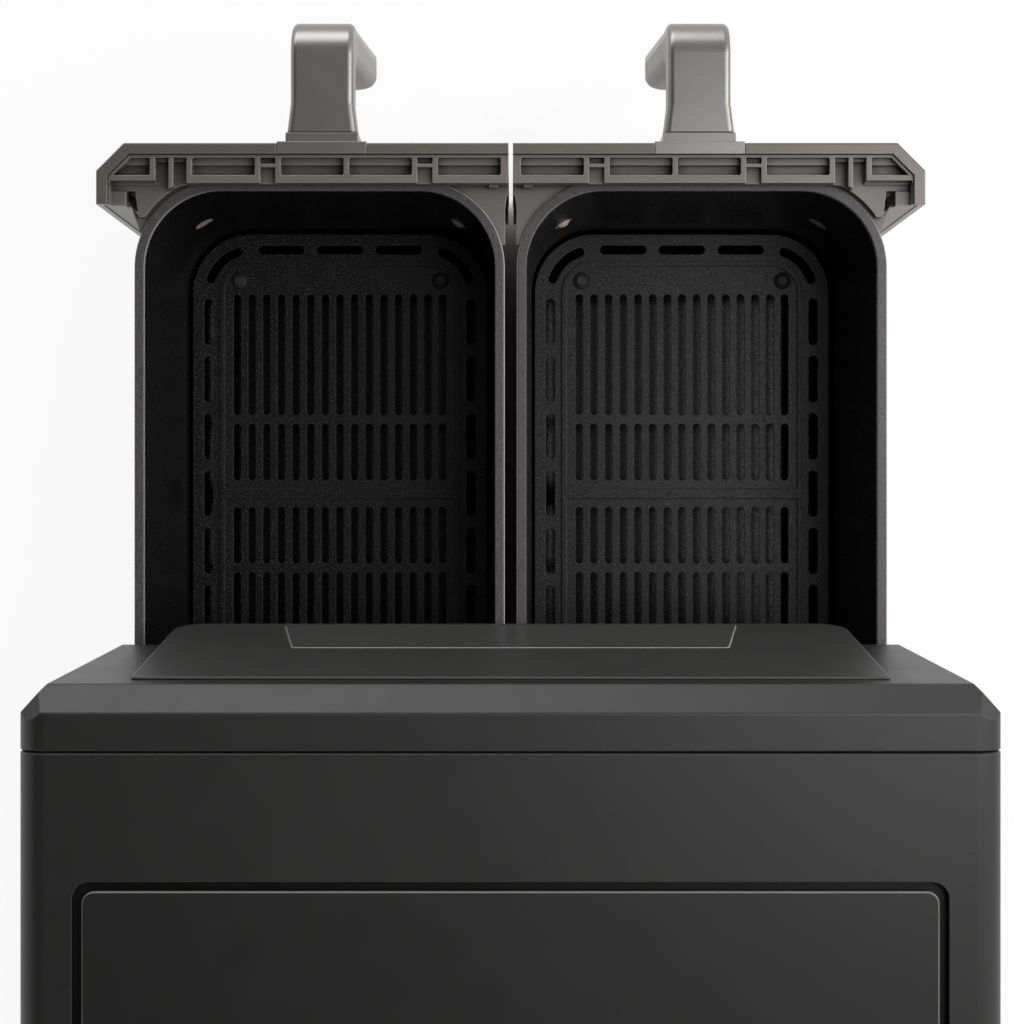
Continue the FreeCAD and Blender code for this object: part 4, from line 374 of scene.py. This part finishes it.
class FRYER_OT_shell(bpy.types.Operator):
    """Finish the housing's outer mouldings"""

    bl_idname = "fryer.shell"
    bl_label = "Housing"

    def execute(self, context):
        look = finish_of(context)
        # painted highlights on the housing's edges and painted shade in its grooves and seams
        dress(["outer_shell", "front_hood"],
              plastic("shell", look.shell, look.shell_roughness, look.grain, look.edge, shine=0.42,
                      painted_highlight=4.0, recess_shade=0.1))
        dress(["base_tray", "front_frame", "rear_vents", "cord_gland"],
              plastic("inner_moulding", look.dark, 0.5, look.grain, look.edge))
        return {"FINISHED"}


class FRYER_OT_panels(bpy.types.Operator):
    """Finish the control panel, its window and the top panel"""

    bl_idname = "fryer.panels"
    bl_label = "Panels"

    def execute(self, context):
        look = finish_of(context)
        # painted highlights on the control panel's edges and painted shade in its recesses
        dress(["control_panel"],
              plastic("panel", look.panel, look.shell_roughness, look.grain, look.edge, shine=0.46,
                      painted_highlight=2.5, recess_shade=0.1))
        # painted shade in the groove round the top panel and a painted highlight on its rounded edge
        dress(["top_inset_panel"],
              plastic("top_panel", look.inset, look.shell_roughness, look.grain, look.edge, shine=0.40,
                      recess_shade=0.1, fillet_highlight=14.0))
        dress(["display_window"], lens("window", look.window, look.outline, 0.34, look.grain, look.edge))
        return {"FINISHED"}


class FRYER_OT_fronts(bpy.types.Operator):
    """Finish the drawer skins and the ribbed mouldings"""

    bl_idname = "fryer.fronts"
    bl_label = "Drawer fronts"

    def execute(self, context):
        look = finish_of(context)
        # painted highlight on the skins' edges
        dress(pair("fascia"),
              plastic("drawer_skin", look.front, look.handle_roughness, look.grain, look.edge, metal=0.3,
                      painted_highlight=1.8))
        # painted highlights on the ribs' edges and painted shade in the pockets
        dress(pair("drawer_frame"),
              plastic("ribbed_moulding", look.moulding, 0.36, look.grain, look.edge, painted_highlight=3.4, recess_shade=0.25))
        return {"FINISHED"}


class FRYER_OT_handles(bpy.types.Operator):
    """Finish the handles"""

    bl_idname = "fryer.handles"
    bl_label = "Handles"

    def execute(self, context):
        look = finish_of(context)
        dress(pair("handle_cover", "handle_base"),
              plastic("handle_skin", look.handle, look.handle_roughness, look.grain, look.edge, metal=0.8))
        dress(pair("handle_core"), plastic("handle_grip", look.grip, 0.42, look.grain, look.edge, metal=0.2))
        return {"FINISHED"}


class FRYER_OT_baskets(bpy.types.Operator):
    """Finish the coated baskets"""

    bl_idname = "fryer.baskets"
    bl_label = "Baskets"

    def execute(self, context):
        look = finish_of(context)
        points = [vertex.co for vertex in NODES["right_basket"].data.vertices]
        low = [min(point[axis] for point in points) for axis in range(3)]
        high = [max(point[axis] for point in points) for axis in range(3)]
        rim_level = high[2] - look.rim_depth
        domes = [(x, low[1] + look.dome_back, high[2] - look.dome_drop)
                 for x in (low[0] + look.dome_inset, high[0] - look.dome_inset)]
        # painted highlights on the edges, on the rims' rounded edges and on the domes
        dress(pair("basket"),
              coated("basket_coating", look.coating, scaled(look.speckle, 0.2), scaled(look.speckle, 1.9),
                     look.coating_roughness, look.fleck, look.edge, 0.25, rim=look.rim, rim_level=rim_level,
                     dome_highlight=look.dome_highlight, domes=domes, dome_highlight_reach=look.dome_highlight_reach))
        return {"FINISHED"}


class FRYER_OT_plates(bpy.types.Operator):
    """Finish the crisper plates and their feet"""

    bl_idname = "fryer.plates"
    bl_label = "Crisper plates"

    def execute(self, context):
        look = finish_of(context)
        # painted highlight on the plates' edges
        dress(pair("crisper_plate"),
              coated("plate_coating", look.plate, look.speckle, scaled(look.speckle, 1.2), 0.34, look.fleck,
                     look.edge, 0.25))
        dress(pair("plate_feet"), plastic("silicone", look.soft, 0.6, look.grain, look.edge))
        return {"FINISHED"}


class FRYER_OT_chambers(bpy.types.Operator):
    """Finish the cooking chambers and their runners"""

    bl_idname = "fryer.chambers"
    bl_label = "Chambers"

    def execute(self, context):
        look = finish_of(context)
        dress(pair("chamber", "heater_pan", "heater_guard") + ["heater_straps", "motor_bridges"],
              metal("chamber_sheet", look.sheet, 0.35, look.edge))
        dress(pair("runners"), plastic("runner", look.dark, 0.45, look.grain, look.edge))
        return {"FINISHED"}


class FRYER_OT_works(bpy.types.Operator):
    """Finish the heaters, fans, motors, boards and switches"""

    bl_idname = "fryer.works"
    bl_label = "Works"

    def execute(self, context):
        look = finish_of(context)
        dress(pair("heater"), metal("heater_tube", scaled(look.sheet, 0.45), 0.5, look.edge))
        dress(pair("hot_fan", "fan_shaft", "motor") + ["temperature_sensors"],
              metal("works_metal", look.sheet, 0.3, look.edge, stretch=4.0))
        dress(pair("cooling_fan", "plunger") + ["drawer_switches", "board_tray", "display_module"],
              plastic("works_plastic", look.dark, 0.5, look.grain, look.edge))
        dress(["control_board", "power_board"], plastic("board", look.board, 0.4, look.grain, look.edge))
        dress(["heater_bushes"], plastic("ceramic", look.ceramic, 0.3, look.grain, look.edge))
        return {"FINISHED"}


class FRYER_OT_fixings(bpy.types.Operator):
    """Finish the feet and screws"""

    bl_idname = "fryer.fixings"
    bl_label = "Feet and screws"

    def execute(self, context):
        look = finish_of(context)
        dress(["rubber_feet"], plastic("rubber", look.soft, 0.7, look.grain, look.edge))
        dress(pair("handle_screws") + ["base_screws"],
              metal("screw_steel", look.sheet, 0.3, look.edge, stretch=2.0))
        return {"FINISHED"}


def soft_light(name, place, aim, size, power):
    light = bpy.data.lights.new(name, "AREA")
    light.shape = "RECTANGLE"
    light.size, light.size_y = size
    light.energy = power
    lamp = bpy.data.objects.new(name, light)
    lamp.location = place
    lamp.visible_camera = False
    direction = lamp.location - aim
    lamp.rotation_euler = direction.to_track_quat("Z", "Y").to_euler()
    bpy.context.scene.collection.objects.link(lamp)
    return lamp


def studio_world(stage):
    """Light from all round: strong near the horizon, weaker overhead, and stronger on one side."""
    world = bpy.data.worlds.new("studio")
    world.use_nodes = True
    tree = world.node_tree
    place = tree.nodes.new("ShaderNodeTexCoord")
    split = tree.nodes.new("ShaderNodeSeparateXYZ")
    height = tree.nodes.new("ShaderNodeMapRange")
    side = tree.nodes.new("ShaderNodeMapRange")
    both = tree.nodes.new("ShaderNodeMath")
    both.operation = "MULTIPLY"
    height.inputs["To Min"].default_value = stage.horizon
    height.inputs["To Max"].default_value = stage.overhead
    side.inputs["From Min"].default_value = -0.8
    side.inputs["From Max"].default_value = 0.4
    side.inputs["To Min"].default_value = 1.0 + stage.lean
    side.inputs["To Max"].default_value = 1.0 - stage.lean
    tree.links.new(place.outputs["Generated"], split.inputs["Vector"])
    tree.links.new(split.outputs["Z"], height.inputs["Value"])
    tree.links.new(split.outputs["X"], side.inputs["Value"])
    tree.links.new(height.outputs["Result"], both.inputs[0])
    tree.links.new(side.outputs["Result"], both.inputs[1])
    tree.links.new(both.outputs["Value"], tree.nodes["Background"].inputs["Strength"])
    tree.nodes["Background"].inputs["Color"].default_value = WHITE
    return world


def pale_floor():
    """White to the camera and in reflections, except near the object, where the lit floor shows its shadow and
    painted shade darkens its colour in narrow gaps.
    """
    bpy.ops.mesh.primitive_plane_add(size=FLOOR_SIZE, location=(0.0, 0.0, 0.0))
    floor = bpy.context.object
    floor.name = "floor"
    graph = Graph("floor")
    path = graph.node("ShaderNodeLightPath")
    mirrored = graph.reckon("MAXIMUM", path.outputs["Is Glossy Ray"], path.outputs["Is Transmission Ray"])
    seen = graph.reckon("MAXIMUM", path.outputs["Is Camera Ray"], mirrored)
    clear = graph.occlusion(SHADOW_REACH, 16)
    share = graph.reckon("MULTIPLY", seen, graph.remap(clear, 0.33, 0.47, high=FLOOR_WHITE))
    # painted shade: the floor's colour darkens where ambient occlusion is low, in narrow gaps under and between
    # the drawers
    shade = graph.ramp(clear, 0.02, 0.40, (0.10, 0.09, 0.08), (0.85, 0.85, 0.85))
    graph.finish(Base_Color=shade, Roughness=0.9)
    glow = graph.node("ShaderNodeEmission", Color=WHITE, Strength=1.0)
    mix = graph.node("ShaderNodeMixShader", Fac=share)
    graph.put(mix.inputs[1], graph.bsdf.outputs["BSDF"])
    graph.put(mix.inputs[2], glow.outputs["Emission"])
    graph.show(mix.outputs["Shader"])
    floor.data.materials.append(graph.material)
    return floor


def white_backdrop():
    """Wall round the stage that the camera and reflections see, and that gives no light and no shadow."""
    bpy.ops.mesh.primitive_cylinder_add(
        vertices=BACKDROP_SIDES, radius=BACKDROP_RADIUS, depth=BACKDROP_HEIGHT, end_fill_type="NOTHING",
        location=(0.0, 0.0, BACKDROP_HEIGHT / 2),
    )
    backdrop = bpy.context.object
    backdrop.name = "backdrop"
    backdrop.visible_diffuse = False
    backdrop.visible_shadow = False
    graph = Graph("backdrop")
    graph.material.cycles.emission_sampling = "NONE"
    glow = graph.node("ShaderNodeEmission", Color=WHITE, Strength=BACKDROP_STRENGTH)
    graph.show(glow.outputs["Emission"])
    backdrop.data.materials.append(graph.material)
    return backdrop


def overhead_camera(stage):
    optics = bpy.data.cameras.new("camera")
    optics.lens = stage.lens
    optics.sensor_width = SENSOR_WIDTH
    camera = bpy.data.objects.new("camera", optics)
    camera.location = (CAMERA_X, stage.camera_y, stage.camera_height)
    camera.rotation_euler = (0.0, 0.0, math.pi)
    bpy.context.scene.collection.objects.link(camera)
    return camera


class FRYER_OT_stage(bpy.types.Operator):
    """Set the floor, light and camera"""

    bl_idname = "fryer.stage"
    bl_label = "Stage"

    def execute(self, context):
        scene = context.scene
        stage = scene.fryer_stage
        low, high = CAD_BOX
        middle = (low + high) / 2
        floor = pale_floor()
        backdrop = white_backdrop()
        lamps = [
            soft_light("key", KEY_PLACE, middle, KEY_SIZE, stage.key),
            soft_light("front", FRONT_PLACE, middle, FRONT_SIZE, stage.front),
        ]
        scene.world = studio_world(stage)
        scene.camera = overhead_camera(stage)
        scene.view_settings.view_transform = "Standard"
        return {"FINISHED"}


OPERATORS = (
    FRYER_OT_shell,
    FRYER_OT_panels,
    FRYER_OT_fronts,
    FRYER_OT_handles,
    FRYER_OT_baskets,
    FRYER_OT_plates,
    FRYER_OT_chambers,
    FRYER_OT_works,
    FRYER_OT_fixings,
    FRYER_OT_stage,
)


class FRYER_PT_panel(bpy.types.Panel):
    """Finishes and stage of the air fryer"""

    bl_idname = "FRYER_PT_panel"
    bl_label = "Air fryer"
    bl_space_type = "VIEW_3D"
    bl_region_type = "UI"
    bl_category = "Air fryer"

    def draw(self, context):
        for operator in OPERATORS:
            self.layout.operator(operator.bl_idname)
        for group in (context.scene.fryer_finish, context.scene.fryer_stage):
            column = self.layout.column(align=True)
            for key in group.__annotations__:
                column.prop(group, key)


CLASSES = (FryerFinish, FryerStage, *OPERATORS, FRYER_PT_panel)


def register():
    for each in CLASSES:
        bpy.utils.register_class(each)
    bpy.types.Scene.fryer_finish = bpy.props.PointerProperty(type=FryerFinish)
    bpy.types.Scene.fryer_stage = bpy.props.PointerProperty(type=FryerStage)


def unregister():
    del bpy.types.Scene.fryer_stage
    del bpy.types.Scene.fryer_finish
    for each in reversed(CLASSES):
        bpy.utils.unregister_class(each)


def main():
    register()
    bpy.ops.fryer.shell()
    bpy.ops.fryer.panels()
    bpy.ops.fryer.fronts()
    bpy.ops.fryer.handles()
    bpy.ops.fryer.baskets()
    bpy.ops.fryer.plates()
    bpy.ops.fryer.chambers()
    bpy.ops.fryer.works()
    bpy.ops.fryer.fixings()
    bpy.ops.fryer.stage()


if __name__ == "__main__":
    main()
